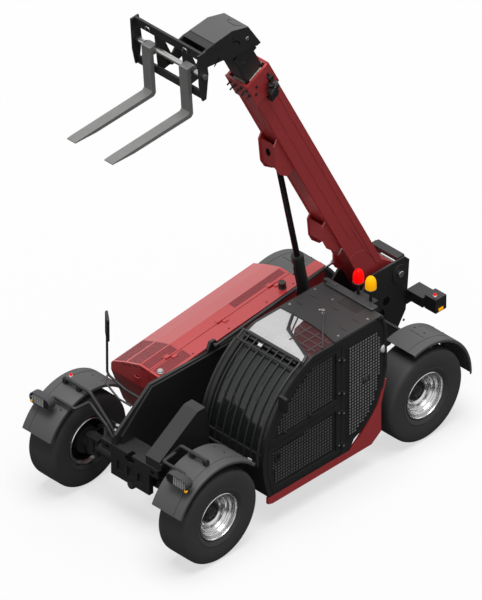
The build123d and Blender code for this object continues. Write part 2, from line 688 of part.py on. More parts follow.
def hinge_leaf(z, toward):
    """One hinge knuckle with its leaf on the cab's side, towards the door (1) or the pillar (-1)."""
    knuckle = rod_z(pillar_x, hinge_y, hinge_radius, z)
    return knuckle + block((pillar_x, pillar_x + toward * 60), (cab_outer, cab_outer + 8), z)


roof_glass_x = (-2180.0, -1480.0)
cab = cab_solid(0, (cab_inner, cab_outer)) - cab_solid(cab_wall, (cab_inner + cab_wall, cab_outer - cab_wall))
cab -= door_solid(0, (cab_outer - cab_wall - 20, cab_outer + 20))
windscreen_arc = (6.0, 68.0)
cab -= front_sector(cab_arc_radius - 90, cab_arc_radius + 60, glass_y, *windscreen_arc)
cab -= block(roof_glass_x, glass_y, (cab_roof - cab_wall - 20, cab_roof + 20))
rear_window_z = (1180.0, 1640.0)
cab -= block((cab_rear - 40, cab_rear + cab_wall + 30), glass_y, rear_window_z)
quarter_x = (-2350.0, pillar_x - 70)
quarter = side_plate([(quarter_x[0], 1120), (quarter_x[1], 1060), (quarter_x[1], 1700), (quarter_x[0] + 40, 1700),
                      (quarter_x[0], 1640)], (cab_outer - cab_wall - 20, cab_outer + 20))
cab -= quarter
inner_window = side_plate([(-2330, 1160), (-1000, 1100), (-1000, 1360), (-1330, 1740), (-2290, 1740)],
                          (cab_inner - 20, cab_inner + cab_wall + 20))
cab -= inner_window
for levels in hinge_rows.values():
    for z in levels:
        cab += hinge_leaf((z - hinge_half, z - seat_gap), -1)
save("cab_frame", cab)

panes = [
    front_sector(cab_arc_radius - 30, cab_arc_radius - 30 + glass_wall, glass_y, *windscreen_arc),
    block(roof_glass_x, glass_y, (cab_roof - 30, cab_roof - 30 + glass_wall)),
    block((cab_rear + 18, cab_rear + 18 + glass_wall), glass_y, rear_window_z),
    side_plate([(-2330, 1160), (-1000, 1100), (-1000, 1360), (-1330, 1740), (-2290, 1740)],
               (cab_inner + 20, cab_inner + 20 + glass_wall)),
    side_plate([(quarter_x[0], 1120), (quarter_x[1], 1060), (quarter_x[1], 1700), (quarter_x[0] + 40, 1700),
                (quarter_x[0], 1640)], (cab_outer - 30, cab_outer - 30 + glass_wall)),
]
save("cab_glass", Compound(panes))

door_y = (cab_outer - cab_wall, cab_outer)
door_frame = 65.0
for name, above in (("door_upper", True), ("door_lower", False)):
    panel = door_solid(door_gap, door_y) & split_wedge(door_gap / 2, above)
    window = door_solid(door_gap + door_frame, (door_y[0] - 10, door_y[1] + 10)) & split_wedge(
        door_gap / 2 + door_frame, above)
    panel -= window
    for z in hinge_rows[name]:
        panel += hinge_leaf((z, z + hinge_half), 1)
    save(name, panel)
    pane = door_solid(door_gap + door_frame, (door_y[0] + 18, door_y[0] + 18 + glass_wall)) & split_wedge(
        door_gap / 2 + door_frame, above)
    save(f"{name}_glass", pane)

seat_x = -1930.0
seat_y = (cab_inner + cab_outer) / 2
seat_base = block((seat_x - 190, seat_x + 200), (seat_y - 190, seat_y + 190), (cab_bottom, 800))
seat_base &= cab_solid(cab_wall + seat_gap, (cab_inner + cab_wall, cab_outer - cab_wall))
save("seat_base", seat_base)
cushion = block((seat_x - 200, seat_x + 290), (seat_y - 240, seat_y + 240), (800 + seat_gap, 910))
back_x = seat_x - 200 - seat_gap
back = side_plate([(back_x, 830), (back_x, 910), (back_x - 80, 1480), (back_x - 165, 1480), (back_x - 90, 830)],
                  (seat_y - 220, seat_y + 220))
save("seat_pads", Compound([cushion, back]))
column = tube([(-1030, seat_y, cab_bottom + cab_wall + seat_gap), (-1030, seat_y, 700), (-1185, seat_y, 1090)], 35, 60)
wheel_place = Pos(-1190, seat_y, 1100) * Rot(0, -29, 0)
column += wheel_place * Torus(180, 14)
column += wheel_place * Box(360, 30, 14)
save("steering_column", column)

save("side_skirt", side_plate([(-735, 310), (-735, cab_bottom), (-1950, cab_bottom), (-2060, 470), (-2330, 740), (-2440, 1030),
                               (-2465, 1030), (-2390, 750), (-2390, 400), (-2250, 300), (-800, 290)],
                              (cab_outer - 30, cab_outer)))

guard = []
guard_radius = cab_arc_radius + 60
guard_top = 63.0
guard_low = 2.0
bars = 9
for index in range(bars):
    y = cab_inner + 25 + index * (cab_outer - cab_inner - 50) / (bars - 1)
    thick = 14 if index in (0, bars - 1) else 8
    start = (cab_arc_x + guard_radius * cos(radians(guard_low)), y, cab_arc_z + guard_radius * sin(radians(guard_low)))
    middle = (cab_arc_x + guard_radius * cos(radians(32)), y, cab_arc_z + guard_radius * sin(radians(32)))
    finish = (cab_arc_x + guard_radius * cos(radians(guard_top)), y, cab_arc_z + guard_radius * sin(radians(guard_top)))
    path = ThreePointArc(start, middle, finish)
    bar = sweep(Plane(origin=start, z_dir=path % 0) * Circle(thick), path=path)
    guard.append(bar)
for angle in (guard_low, guard_top):
    px = cab_arc_x + guard_radius * cos(radians(angle))
    pz = cab_arc_z + guard_radius * sin(radians(angle))
    guard.append(rod_y(px, pz, 16, (cab_inner + 10, cab_outer - 10)))
    back_x = cab_arc_x + (cab_arc_radius + seat_gap) * cos(radians(angle))
    back_z = cab_arc_z + (cab_arc_radius + seat_gap) * sin(radians(angle))
    for y in (cab_inner + 60, cab_outer - 60):
        guard.append(tube([(px, y, pz), (back_x, y, back_z)], 12, 1))
guard_solid = guard[0]
for piece in guard[1:]:
    guard_solid = guard_solid + piece
save("windscreen_guard", guard_solid)

# ---- engine side --------------------------------------------------------------------------------


def sheared(face_points, x_start, length):
    """Extrude a (y, z) outline rearwards along the bonnet's slope."""
    face = make_face(Polyline(*[(x_start, py, pz) for py, pz in face_points], close=True))
    return extrude(face, length * sqrt(1 + bonnet_slope ** 2), dir=(-1, 0, bonnet_slope))


def top_at(x):
    return bonnet_height + bonnet_slope * (bonnet_front - x)


bonnet_length = bonnet_front - bonnet_rear
h = bonnet_height
lid_gap = 5.0
side_drop = 240.0
outer_top = [(-bonnet_seam - lid_gap, h + 12), (-bonnet_ridge, h + 20), (-780, h - 50), (-bonnet_outer + 20, h - 130),
             (-bonnet_outer, h - 160), (-bonnet_outer, h - side_drop)]
inner_under = [(-bonnet_outer + bonnet_wall, h - side_drop), (-bonnet_outer + bonnet_wall, h - 165),
               (-770, h - 50 - bonnet_wall - 5), (-bonnet_ridge, h + 20 - bonnet_wall),
               (-bonnet_seam - lid_gap, h + 12 - bonnet_wall)]
lid = sheared(outer_top + inner_under, bonnet_front, bonnet_length)
end_face = outer_top + [(-bonnet_seam - lid_gap, h - side_drop)]
lid += sheared(end_face, bonnet_front, bonnet_wall)
lid_rear = Pos(-(bonnet_length - bonnet_wall), 0, bonnet_slope * (bonnet_length - bonnet_wall))
lid += lid_rear * sheared(end_face, bonnet_front, bonnet_wall)
strip = sheared([(-bonnet_inner, h), (-bonnet_seam, h + 10), (-bonnet_seam, h - 60),
                 (-bonnet_seam + bonnet_wall, h - 60), (-bonnet_seam + bonnet_wall, h - 20), (-bonnet_inner, h - 25)],
                bonnet_front, bonnet_length)
rear_strip_x = -2920.0
strip += sheared([(-bonnet_inner, h), (-380, h + 7), (-380, h - 20), (-bonnet_inner, h - 25)],
                 bonnet_front, bonnet_front - rear_strip_x)
strip += side_plate([(bonnet_front, 1290), (bonnet_front, top_at(bonnet_front)),
                     (rear_strip_x, top_at(rear_strip_x)), (rear_strip_x, 1290)],
                    (-bonnet_inner - 5, -rail_outer))

hinge_axis_y = -bonnet_seam - lid_gap / 2
hinge_axis_z = h + 12 + 9
slope_angle = degrees(atan2(bonnet_slope, 1))


def bonnet_knuckle(start, end, toward):
    """A hinge knuckle and leaf along the seam, on the lid (-1) or the fixed strip (1)."""
    place = Pos(bonnet_front, hinge_axis_y, hinge_axis_z) * Rot(0, slope_angle, 0)
    knuckle = rod_x(0, 0, 9, (-end, -start))
    return place * (knuckle + block((-end, -start), (0, toward * 50), (-14, -2)))


# louvred grilles: slots cut through the front of the lid's top and of the fixed strip
louvre_pitch = 60.0
louvre_wide = 26.0
for index in range(7):
    place = Pos(bonnet_front - 50 - index * louvre_pitch, 0, bonnet_slope * (50 + index * louvre_pitch))
    lid -= place * block((-louvre_wide, 0), (-bonnet_ridge + 10, -bonnet_seam - 50), (h - 60, h + 60))
    lid -= place * block((-louvre_wide, 0), (-760, -bonnet_ridge - 25), (h - 100, h + 60))
    lid -= place * block((-louvre_wide, 0), (-bonnet_outer + 60, -800), (h - 180, h + 60))
for start in (250.0, 1000.0, 1750.0):
    lid += bonnet_knuckle(start, start + 60, -1)
    strip += bonnet_knuckle(start + 60 + seat_gap, start + 120, 1)
save("bonnet_lid", lid)

bay_top = h - side_drop - lid_gap
rear_bay_top = bay_top + bonnet_slope * bonnet_length
tub_wall = 20.0
tub_bottom = 520.0
tub_front = bonnet_front - 170
tub_rear = bonnet_rear + 290
rear_corner = 1060.0
tub_outer = [(tub_front - 60, tub_bottom), (tub_front, tub_bottom + 100), (bonnet_front, bay_top),
             (bonnet_rear, rear_bay_top), (bonnet_rear, rear_corner), (tub_rear, rear_corner - 300),
             (tub_rear + 50, tub_bottom)]
tub_inner = [(tub_front - 70, tub_bottom + tub_wall), (tub_front - tub_wall, tub_bottom + 100),
             (bonnet_front - tub_wall, bay_top + 80), (bonnet_rear + tub_wall, rear_bay_top + 80),
             (bonnet_rear + tub_wall, rear_corner), (tub_rear + tub_wall, rear_corner - 300),
             (tub_rear + 60, tub_bottom + tub_wall)]
tub = side_plate(tub_outer, (-bonnet_outer, -plate_outer))
tub -= side_plate(tub_inner, (-bonnet_outer + tub_wall, -plate_outer + 10))
tub -= block((bonnet_front - 500, bonnet_front + 10), (-rail_outer - seat_gap, -plate_outer + 10), (1000, 1400))
tub -= block((bonnet_rear - 10, bonnet_front - 10), (-bonnet_inner - 5, -plate_outer + 10), (1280, 1400))
save("engine_panels", Compound([strip, tub]))
engine_x = (bonnet_rear + 390, bonnet_front - 260)
engine = block(engine_x, (-bonnet_outer + 100, -bonnet_inner), (tub_bottom + tub_wall, tub_bottom + 480))
for mount_x in (engine_x[0] + 150, engine_x[1] - 160):
    engine += block((mount_x - 60, mount_x + 60), (-bonnet_inner, -plate_outer), (tub_bottom + 120, tub_bottom + 220))
save("engine_block", engine)

# ---- lamps and mirrors --------------------------------------------------------------------------
lamp_x = 500.0
lamp_y = 1000.0
lamp_z = 1170.0
lamp_depth = 110.0
lamp_wide = 300.0
lamp_tall = 140.0
bracket_radius = 20.0
tube_radius = 18.0
tube_x = 90.0
lamp_tube_x = 135.0
tube_top = 1250.0
pad_half = 25.0
pad_bottom = tyre_radius + sqrt(fender_radius ** 2 - (tube_x - pad_half) ** 2) + seat_gap
lamp_rear = lamp_x - lamp_depth - seat_gap
lamps = []
brackets = []
for side in (1, -1):
    face = Plane(origin=(lamp_x, side * lamp_y, lamp_z), x_dir=(0, 1, 0), z_dir=(1, 0, 0))
    lamps.append(extrude(face * SlotOverall(lamp_wide, lamp_tall), -lamp_depth))
    foot_y = (console_outer if side > 0 else rail_outer) + bracket_radius + seat_gap
    knee_y = max(foot_y + 30, 380)
    arm = tube([(tube_x, side * foot_y, 880), (tube_x, side * knee_y, 1000), (tube_x, side * 666, tube_top),
                (tube_x, side * 1045, tube_top)], bracket_radius, 60)
    for pad_y in (800, 1000):
        arm += block((tube_x - pad_half, tube_x + pad_half), (side * pad_y, side * (pad_y + 50)), (pad_bottom, tube_top))
    forward = tube([(lamp_tube_x, side * foot_y, 880), (lamp_tube_x, side * knee_y, 1000),
                    (lamp_tube_x, side * 630, lamp_z), (330, side * 650, lamp_z), (330, side * 960, lamp_z),
                    (lamp_rear, side * 960, lamp_z)], tube_radius, 28)
    clamp = block((tube_x - 30, lamp_tube_x + 30), (side * (foot_y - bracket_radius), side * (foot_y + 10)), (850, 930))
    brackets.append(arm + forward + clamp)
save("headlamps", Compound(lamps))
save("lamp_brackets", Compound(brackets))

arm_x = (-rear_reach + 20, frame_rear)
tail_y = (450.0, 610.0)
tail_z = (985.0, 1155.0)
lamp_edge = 20.0
tail_arms = []
tail_lamps = []
for side in (1, -1):
    y_in = side * plate_outer
    arm = block((arm_x[0], arm_x[1] + 30), (y_in, side * tail_y[0]), (tail_z[0] + 15, tail_z[1] - 35))
    arm += block(arm_x, (side * tail_y[0], side * tail_y[1]), tail_z)
    pocket = (tail_y[0] + lamp_edge, tail_y[1] - lamp_edge)
    pocket_z = (tail_z[0] + 25, tail_z[1] - 25)
    arm -= block((arm_x[0] - 1, arm_x[0] + 25), (side * pocket[0], side * pocket[1]), pocket_z)
    arm += block((arm_x[0] + 60, frame_rear + 40), (y_in, y_in + side * 12), (tail_z[0] - 45, tail_z[1] - 35))
    tail_arms.append(arm)
    tail_lamps.append(block((-rear_reach, arm_x[0] + 25), (side * (pocket[0] + 2), side * (pocket[1] - 2)),
                            (pocket_z[0] + 2, pocket_z[1] - 2)))
save("tail_arms", Compound(tail_arms))
save("tail_lamps", Compound(tail_lamps))

beacon_x = cab_rear - 80
beacon_radius = 62.5
beacon_foot = cab_roof + 140
beacon_top = cab_roof + 320
beacon_y = (650.0, 830.0)
beacons = []
stand = block((beacon_x - 60, cab_rear + 180), (beacon_y[0] - 50, beacon_y[1] + 50), (cab_roof + seat_gap, cab_roof + 10))
for y in beacon_y:
    stand += rod_z(beacon_x, y, 16, (cab_roof + 5, beacon_foot))
    dome = rod_z(beacon_x, y, beacon_radius, (beacon_foot + seat_gap, beacon_top - 50))
    dome += Pos(beacon_x, y, beacon_top - 50) * Sphere(beacon_radius)
    dome &= block((beacon_x - 100, beacon_x + 100), (y - 100, y + 100), (beacon_foot + seat_gap, beacon_top))
    beacons.append(dome)
save("beacons", Compound(beacons))
save("beacon_bracket", stand)

post_x, post_y = -210.0, -720.0
mirror_right = tube([(post_x, -rail_outer - seat_gap, 1240), (post_x, -450, 1240), (post_x, post_y, 1310),
                     (post_x, post_y, 1920)], 14, 60)
mirror_right += block((post_x - 35, post_x - 5), (post_y - 100, post_y + 100), (1750, 2050))
mirror_left = tube([(-918, cab_outer + seat_gap, 1500), (-918, 1140, 1500), (-885, 1165, 1500)], 11, 14)
mirror_left += block((-895, -870), (1106, 1232), (1450, 1650))
save("mirrors", Compound([mirror_left, mirror_right]))

collar_side = boom_half_width + collar_wall
work_lamp = (boom_length - 270, boom_length - 200)
lamp_on_boom = rod_x(collar_side + 45, -150, 45, work_lamp)
lamp_on_boom += block((work_lamp[0] + 10, work_lamp[1] - 10), (collar_side, collar_side + 40), (-170, -130))
save("boom_lamp", on_boom(lamp_on_boom))
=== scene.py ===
import json
from math import cos, pi, radians, sin

import bmesh
import bpy
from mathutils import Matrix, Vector


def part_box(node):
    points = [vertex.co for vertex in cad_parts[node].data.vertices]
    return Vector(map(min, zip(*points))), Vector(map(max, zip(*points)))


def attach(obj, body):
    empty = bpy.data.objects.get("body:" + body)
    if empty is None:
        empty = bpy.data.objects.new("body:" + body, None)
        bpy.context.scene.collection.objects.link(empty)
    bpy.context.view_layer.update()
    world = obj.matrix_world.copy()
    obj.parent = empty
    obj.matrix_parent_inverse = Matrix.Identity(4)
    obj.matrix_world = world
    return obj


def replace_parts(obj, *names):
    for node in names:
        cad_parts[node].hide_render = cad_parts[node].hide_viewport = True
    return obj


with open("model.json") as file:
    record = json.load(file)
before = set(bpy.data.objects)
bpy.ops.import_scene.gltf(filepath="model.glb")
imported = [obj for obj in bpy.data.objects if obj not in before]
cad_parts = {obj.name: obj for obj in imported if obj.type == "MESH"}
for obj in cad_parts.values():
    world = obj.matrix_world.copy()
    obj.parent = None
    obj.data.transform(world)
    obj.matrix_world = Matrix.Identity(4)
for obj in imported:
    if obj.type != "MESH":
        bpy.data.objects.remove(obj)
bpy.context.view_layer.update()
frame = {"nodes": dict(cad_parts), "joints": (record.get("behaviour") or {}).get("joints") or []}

print("frame loaded")

frontWay, leftWay, upWay = Vector((1, 0, 0)), Vector((0, 1, 0)), Vector((0, 0, 1))
bothSides = (1, -1)  # the machine's left, then its right
wheelSides = {"front_left": 1, "front_right": -1, "rear_left": 1, "rear_right": -1}

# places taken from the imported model
joints = {joint["name"]: joint for joint in frame["joints"]}
boomPivot = Vector(joints["boom_lift"]["pos_m"])
boomAlong = Vector(joints["telescope"]["axis"])
boomUp = Vector((-boomAlong.z, 0, boomAlong.x))
carriagePin = Vector(joints["carriage_tilt"]["pos_m"])
shiftX = Vector(joints["wheel_front_left_spin"]["pos_m"]).x  # the front axle, ahead of the row's origin


def boomPoint(along, across, y=0.0):
    return boomPivot + boomAlong * along + boomUp * across + Vector((0, y, 0))


def rowPoint(x, y, z):
    # x counts from the front axle
    return Vector((x + shiftX, y, z))


def placed(place, *points):
    return [place(*point) for point in points]


def circle(count):
    return [(cos(2 * pi * i / count), sin(2 * pi * i / count)) for i in range(count)]


def sign(value):
    return 1 if value > 0 else -1


def quarterArc(steps):
    # points inside a quarter turn, without its ends
    return [(cos(i / steps * pi / 2), sin(i / steps * pi / 2)) for i in range(1, steps)]


# camera, light and floor
stageSetup = {
    "aim": (-0.19, -0.311, 1.674), "distance": 154.96, "lens": 900, "sunStrength": 2.5, "sunSpread": 40,
    "sunTilt": (-4, 4), "skyFill": 0.2, "floorShade": 0.3, "floorMirror": 0.06, "floorGlow": 0.66,
    "floorRadius": 45, "floorDrop": 0.002,
}


def toLinear(hexText):
    parts = [int(hexText[i:i + 2], 16) / 255 for i in (1, 3, 5)]
    return tuple(c / 12.92 if c <= 0.04045 else ((c + 0.055) / 1.055) ** 2.4 for c in parts) + (1.0,)


def addNode(tree, kind, inputs=None, **settings):
    # an input takes a value, a socket, or a node for that node's first output
    node = tree.nodes.new(kind)
    for name, value in settings.items():
        setattr(node, name, value)
    for key, value in (inputs or {}).items():
        if isinstance(value, bpy.types.Node):
            value = value.outputs[0]
        if isinstance(value, bpy.types.NodeSocket):
            tree.links.new(value, node.inputs[key])
        else:
            node.inputs[key].default_value = value
    return node


scene = bpy.context.scene
scene.view_settings.view_transform = "Standard"
viewDirection = Vector((1, 1, 1)).normalized()
cameraData = bpy.data.cameras.new("camera")
cameraData.lens = stageSetup["lens"]
cameraData.clip_end = 500
camera = bpy.data.objects.new("camera", cameraData)
scene.collection.objects.link(camera)
camera.location = Vector(stageSetup["aim"]) + viewDirection * stageSetup["distance"]
camera.rotation_euler = (-viewDirection).to_track_quat("-Z", "Y").to_euler()
scene.camera = camera

sunData = bpy.data.lights.new("softSun", "SUN")
sunData.energy = stageSetup["sunStrength"]
sunData.angle = radians(stageSetup["sunSpread"])
sun = bpy.data.objects.new("softSun", sunData)
sun.rotation_euler = (radians(stageSetup["sunTilt"][0]), radians(stageSetup["sunTilt"][1]), 0)
scene.collection.objects.link(sun)

# the sky is white where it is looked at or mirrored, and weak where it lights the object
world = bpy.data.worlds.new("paleStudio")
world.use_nodes = True
scene.world = world
tree = world.node_tree
tree.nodes.clear()
ray = addNode(tree, "ShaderNodeLightPath").outputs
seen = ray["Is Camera Ray"]
for other in ("Is Glossy Ray", "Is Transmission Ray"):
    seen = addNode(tree, "ShaderNodeMath", {0: seen, 1: ray[other]}, operation="MAXIMUM").outputs[0]
level = addNode(tree, "ShaderNodeMapRange", {"Value": seen, "To Min": stageSetup["skyFill"], "To Max": 1.0})
sky = addNode(tree, "ShaderNodeBackground", {"Color": (1, 1, 1, 1), "Strength": level})
addNode(tree, "ShaderNodeOutputWorld", {"Surface": sky})


def newMaterial(name):
    material = bpy.data.materials.new(name)
    material.use_nodes = True
    material.node_tree.nodes.clear()
    return material, material.node_tree


def grey(shade):
    return (shade, shade, shade, 1)


# painted studio floor: white where it is looked at, grey for the light that it throws back
floorPaint, tree = newMaterial("studioFloorPaint")
ray = addNode(tree, "ShaderNodeLightPath").outputs
grain = addNode(tree, "ShaderNodeTexNoise", {"Scale": 3.0, "Detail": 2.0})
tone = addNode(tree, "ShaderNodeMapRange", {"Value": grain, "To Min": 0.97, "To Max": 0.99})
paleColor = addNode(tree, "ShaderNodeCombineColor", {"Red": tone, "Green": tone, "Blue": tone})
pale = addNode(tree, "ShaderNodeBsdfDiffuse", {"Color": paleColor})
glow = addNode(tree, "ShaderNodeEmission", {"Color": (1, 1, 1, 1), "Strength": 1.0})
shown = addNode(tree, "ShaderNodeMixShader", {0: stageSetup["floorGlow"], 1: pale, 2: glow})
dull = addNode(tree, "ShaderNodeBsdfDiffuse", {"Color": grey(stageSetup["floorShade"])})
mirrored = addNode(tree, "ShaderNodeBsdfDiffuse", {"Color": grey(stageSetup["floorMirror"])})
clear = addNode(tree, "ShaderNodeMath", {0: ray["Is Camera Ray"], 1: ray["Is Transmission Ray"]},
                operation="MAXIMUM")
bounced = addNode(tree, "ShaderNodeMixShader", {0: ray["Is Glossy Ray"], 1: dull, 2: mirrored})
mixed = addNode(tree, "ShaderNodeMixShader", {0: clear, 1: bounced, 2: shown})
addNode(tree, "ShaderNodeOutputMaterial", {"Surface": mixed})

floorMesh = bpy.data.meshes.new("studioFloor")
reach = stageSetup["floorRadius"]
floorMesh.from_pydata([(reach * c, reach * s, -stageSetup["floorDrop"]) for c, s in circle(64)], [],
                      [list(range(64))])
floorMesh.materials.append(floorPaint)
floor = bpy.data.objects.new("studioFloor", floorMesh)
scene.collection.objects.link(floor)
print("camera, light and floor ready")

# materials
finish = {}


def paint(name, color, roughness, patch=3.0, spread=0.08, grain=0.1, grainSize=6.0, metallic=0.0, specular=0.5,
          coat=0.0, coatRoughness=0.1, sheen=0.0, glow=0.0):
    # patch is the scale of the cloudy shades, spread their contrast, grain the bump, grainSize its size in mm
    material, tree = newMaterial(name)
    place = addNode(tree, "ShaderNodeTexCoord").outputs["Object"]
    patches = addNode(tree, "ShaderNodeTexNoise", {"Vector": place, "Scale": patch, "Detail": 3.0})
    base = toLinear(color)
    darker = tuple(c * (1 - spread) for c in base[:3]) + (1,)
    lighter = tuple(min(1, c * (1 + spread)) for c in base[:3]) + (1,)
    shades = addNode(tree, "ShaderNodeMix", {0: patches, 6: darker, 7: lighter}, data_type="RGBA")
    rough = addNode(tree, "ShaderNodeMapRange", {
        "Value": patches, "To Min": roughness - 0.04, "To Max": roughness + 0.04})
    grit = addNode(tree, "ShaderNodeTexNoise", {"Vector": place, "Scale": 1000 / grainSize, "Detail": 2.0})
    relief = addNode(tree, "ShaderNodeBump", {"Height": grit, "Strength": grain, "Distance": 0.001})
    shader = addNode(tree, "ShaderNodeBsdfPrincipled", {
        "Base Color": shades.outputs[2], "Roughness": rough, "Normal": relief, "Metallic": metallic,
        "Specular IOR Level": specular, "Coat Weight": coat, "Coat Roughness": coatRoughness,
        "Sheen Weight": sheen, "Emission Color": base, "Emission Strength": glow})
    addNode(tree, "ShaderNodeOutputMaterial", {"Surface": shader})
    finish[name] = material


def glassMaterial(name, color, roughness, cover):
    # cover is how much of what is behind the pane the tint hides
    material, tree = newMaterial(name)
    place = addNode(tree, "ShaderNodeTexCoord").outputs["Object"]
    haze = addNode(tree, "ShaderNodeTexNoise", {"Vector": place, "Scale": 2.0, "Detail": 2.0})
    rough = addNode(tree, "ShaderNodeMapRange",
                    {"Value": haze, "To Min": roughness, "To Max": roughness + 0.05})
    shader = addNode(tree, "ShaderNodeBsdfPrincipled", {
        "Base Color": toLinear(color), "Roughness": rough, "IOR": 1.5, "Alpha": cover})
    addNode(tree, "ShaderNodeOutputMaterial", {"Surface": shader})
    finish[name] = material


# baked enamel on sheet steel: even, glossy, with a faint orange peel (2.5 mm peel drawn at 12 mm to show)
paint("redEnamel", "#cf4144", 0.34, coat=0.6, coatRoughness=0.14, spread=0.05, patch=1.2, grain=0.12,
      grainSize=12.0)
# the same enamel inside a perforated sheet, where little light comes back
paint("redEnamelShaded", "#a33a3f", 0.45, coat=0.2, spread=0.1, grainSize=12.0)
# textured powder coat on welded steel: dark and satin, the grit drawn at 6 mm to show
paint("blackPowderCoat", "#272727", 0.46, spread=0.14, patch=2.0, grain=0.25)
# powder coat on sheet steel that faces up, painted a lighter grey than the black coat for the light that falls on it
# (painted light)
paint("greyPowderCoat", "#3a3a3b", 0.5, spread=0.1, patch=2.5, grain=0.2)
# the same coat on the head's cover, painted a lighter grey for the light on its top face (painted light)
paint("litCoverPowderCoat", "#5b5b5c", 0.5, patch=2.5, grain=0.2)
# powder coat of the roof, painted a little lighter than the black coat for the light on the top (painted light)
paint("roofPowderCoat", "#323233", 0.5, spread=0.12, patch=2.0, grain=0.2)
# nitrided rod: near black, polished
paint("nitridedRod", "#262627", 0.22, metallic=0.6, spread=0.06, grain=0.03)
# moulded polyethylene: soft grey sheen and a fine leather grain
paint("mouldedFenderPlastic", "#545454", 0.55, spread=0.06, patch=2.0, grain=0.3, grainSize=5.0)
# solid tyre rubber: matt, slightly brown, with faint moulding marks
paint("tyreRubber", "#434343", 0.72, spread=0.1, patch=5.0, grain=0.3, grainSize=7.0, specular=0.35)
# cast iron under black paint: rough and dark
paint("castIron", "#2c2b2a", 0.6, spread=0.2, patch=12.0, grain=0.8, grainSize=5.0)
# zinc-plated steel: light grey, cloudy
paint("zincSteel", "#b9bab8", 0.33, metallic=1.0, spread=0.12, patch=30.0, grain=0.15)
# hard-chromed bar: mirror-like
paint("hardChrome", "#8d8f92", 0.12, metallic=1.0, spread=0.03, grain=0.02)
# forged tine steel: blackened, worn lighter on the blade
paint("forgedSteel", "#8a8a89", 0.5, spread=0.15, patch=6.0, grain=0.5, grainSize=8.0)
# spun and painted rim: even silver, almost without grain
paint("silverRimPaint", "#d6d6d6", 0.26, metallic=0.9, spread=0.05, patch=6.0, grain=0.05)
# nylon pad: waxy off-white
paint("nylonPad", "#d9d5c6", 0.45, spread=0.05, patch=20.0)
# moulded black plastic: satin
paint("blackPlastic", "#242425", 0.4, patch=10.0, grain=0.3, grainSize=3.0)
# painted shade: near black for a deep hole, what is behind a perforation
paint("holeShadow", "#080808", 0.9, spread=0.05, specular=0.1)
# pane behind a punched plate: an even, dull grey painted for the light that the glass reflects (painted reflection)
paint("paneReflectionGrey", "#7d7d7d", 0.4, spread=0.12)
# the quarter window's panes, with the light of the far window on them
paint("palePane", "#b9b9b9", 0.4, spread=0.2, patch=4.0)
# coated blind fabric: bright and silky
paint("blindFabricWhite", "#d8d8d8", 0.35, spread=0.1, patch=4.0, grain=0.2, grainSize=9.0, coat=0.3)
# enamel of the tool locker under the smoked top glass, painted dark red for the shade it lies in (painted shade), and
# of its bars
paint("lockerRedShade", "#43191b", 0.4, spread=0.15, patch=8.0, coat=0.3)
paint("lockerBarGrey", "#584848", 0.5, spread=0.1)
# seat vinyl: soft sheen, leather grain at 4 mm
paint("seatVinyl", "#2b2a2b", 0.58, patch=20.0, grain=0.7, grainSize=4.0, sheen=0.2)
# polycarbonate lenses
paint("amberLens", "#f2a900", 0.35, specular=0.2, spread=0.04, glow=0.7)
paint("redLens", "#ee0202", 0.35, specular=0.15, spread=0.04, glow=0.8)
paint("whiteLens", "#efefef", 0.2, coat=0.4, spread=0.03)
# silvered mirror glass
paint("mirrorSilver", "#dcdcdc", 0.05, metallic=1.0, spread=0.02, grain=0.0)
# tinted safety glass: dark, with a faint haze
glassMaterial("tintedSafetyGlass", "#2b2e2d", 0.08, 0.84)

nodeFinish = {
    "redEnamel": "boom_outer bonnet_lid engine_panels side_skirt",
    "blackPowderCoat": "boom_inner side_plates rails frame_pan front_cross_bar turret_braces boom_head fork_carriage "
                       "cab_frame door_upper door_lower seat_base tail_arms beacon_bracket lamp_brackets "
                       "lift_barrel level_barrel fender_arms windscreen_guard",
    "castIron": "axles engine_block",
    "hardChrome": "level_rod frame_pins",
    "nitridedRod": "lift_rod",
    "zincSteel": "fork_shaft",
    "forgedSteel": "fork_tines",
    "nylonPad": "wear_pads",
    "blackPlastic": "steering_column mirrors boom_lamp",
    "tintedSafetyGlass": "cab_glass door_upper_glass door_lower_glass",
    "whiteLens": "headlamps",
    "redLens": "tail_lamps beacons",
    "seatVinyl": "seat_pads",
}
cornerFinish = {"knuckle_": "castIron", "fender_": "mouldedFenderPlastic", "tyre_": "tyreRubber",
                "rim_": "silverRimPaint"}
coated = [(node, name) for name, nodes in nodeFinish.items() for node in nodes.split()]
coated += [(start + wheel, name) for start, name in cornerFinish.items() for wheel in wheelSides]
for node, name in coated:
    mesh = frame["nodes"][node].data
    mesh.materials.clear()
    mesh.materials.append(finish[name])
print("materials ready")


# mesh and tree helpers
def placePiece(name, mesh, body, angle):
    mesh.shade_smooth()
    mesh.set_sharp_from_angle(angle=radians(angle))
    piece = bpy.data.objects.new(name, mesh)
    scene.collection.objects.link(piece)
    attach(piece, body)
    return piece


def makePiece(name, skin, material, body, angle=32):
    mesh = bpy.data.meshes.new(name)
    mesh.from_pydata([tuple(v) for v in skin[0]], [], skin[1])
    shell = bmesh.new()
    shell.from_mesh(mesh)
    bmesh.ops.remove_doubles(shell, verts=shell.verts, dist=0.00005)
    bmesh.ops.recalc_face_normals(shell, faces=shell.faces)
    shell.to_mesh(mesh)
    shell.free()
    mesh.materials.append(finish[material])
    return placePiece(name, mesh, body, angle)


def joined(skins):
    # several skins as one
    verts, faces = [], []
    for points, loops in skins:
        offset = len(verts)
        verts += points
        faces += [[index + offset for index in loop] for loop in loops]
    return verts, faces


def loft(sections, ring=False, closed=True):
    # skin over sections that have the same number of points; ring joins the last section to the first
    verts = [point for section in sections for point in section]
    faces = []
    count = len(sections[0])
    for i in range(len(sections) if ring else len(sections) - 1):
        a, b = i * count, (i + 1) % len(sections) * count
        for k in range(count if closed else count - 1):
            m = (k + 1) % count
            faces.append([a + k, a + m, b + m, b + k])
    if not ring:
        faces += [list(range(count)), list(range(len(verts) - count, len(verts)))]
    return verts, faces


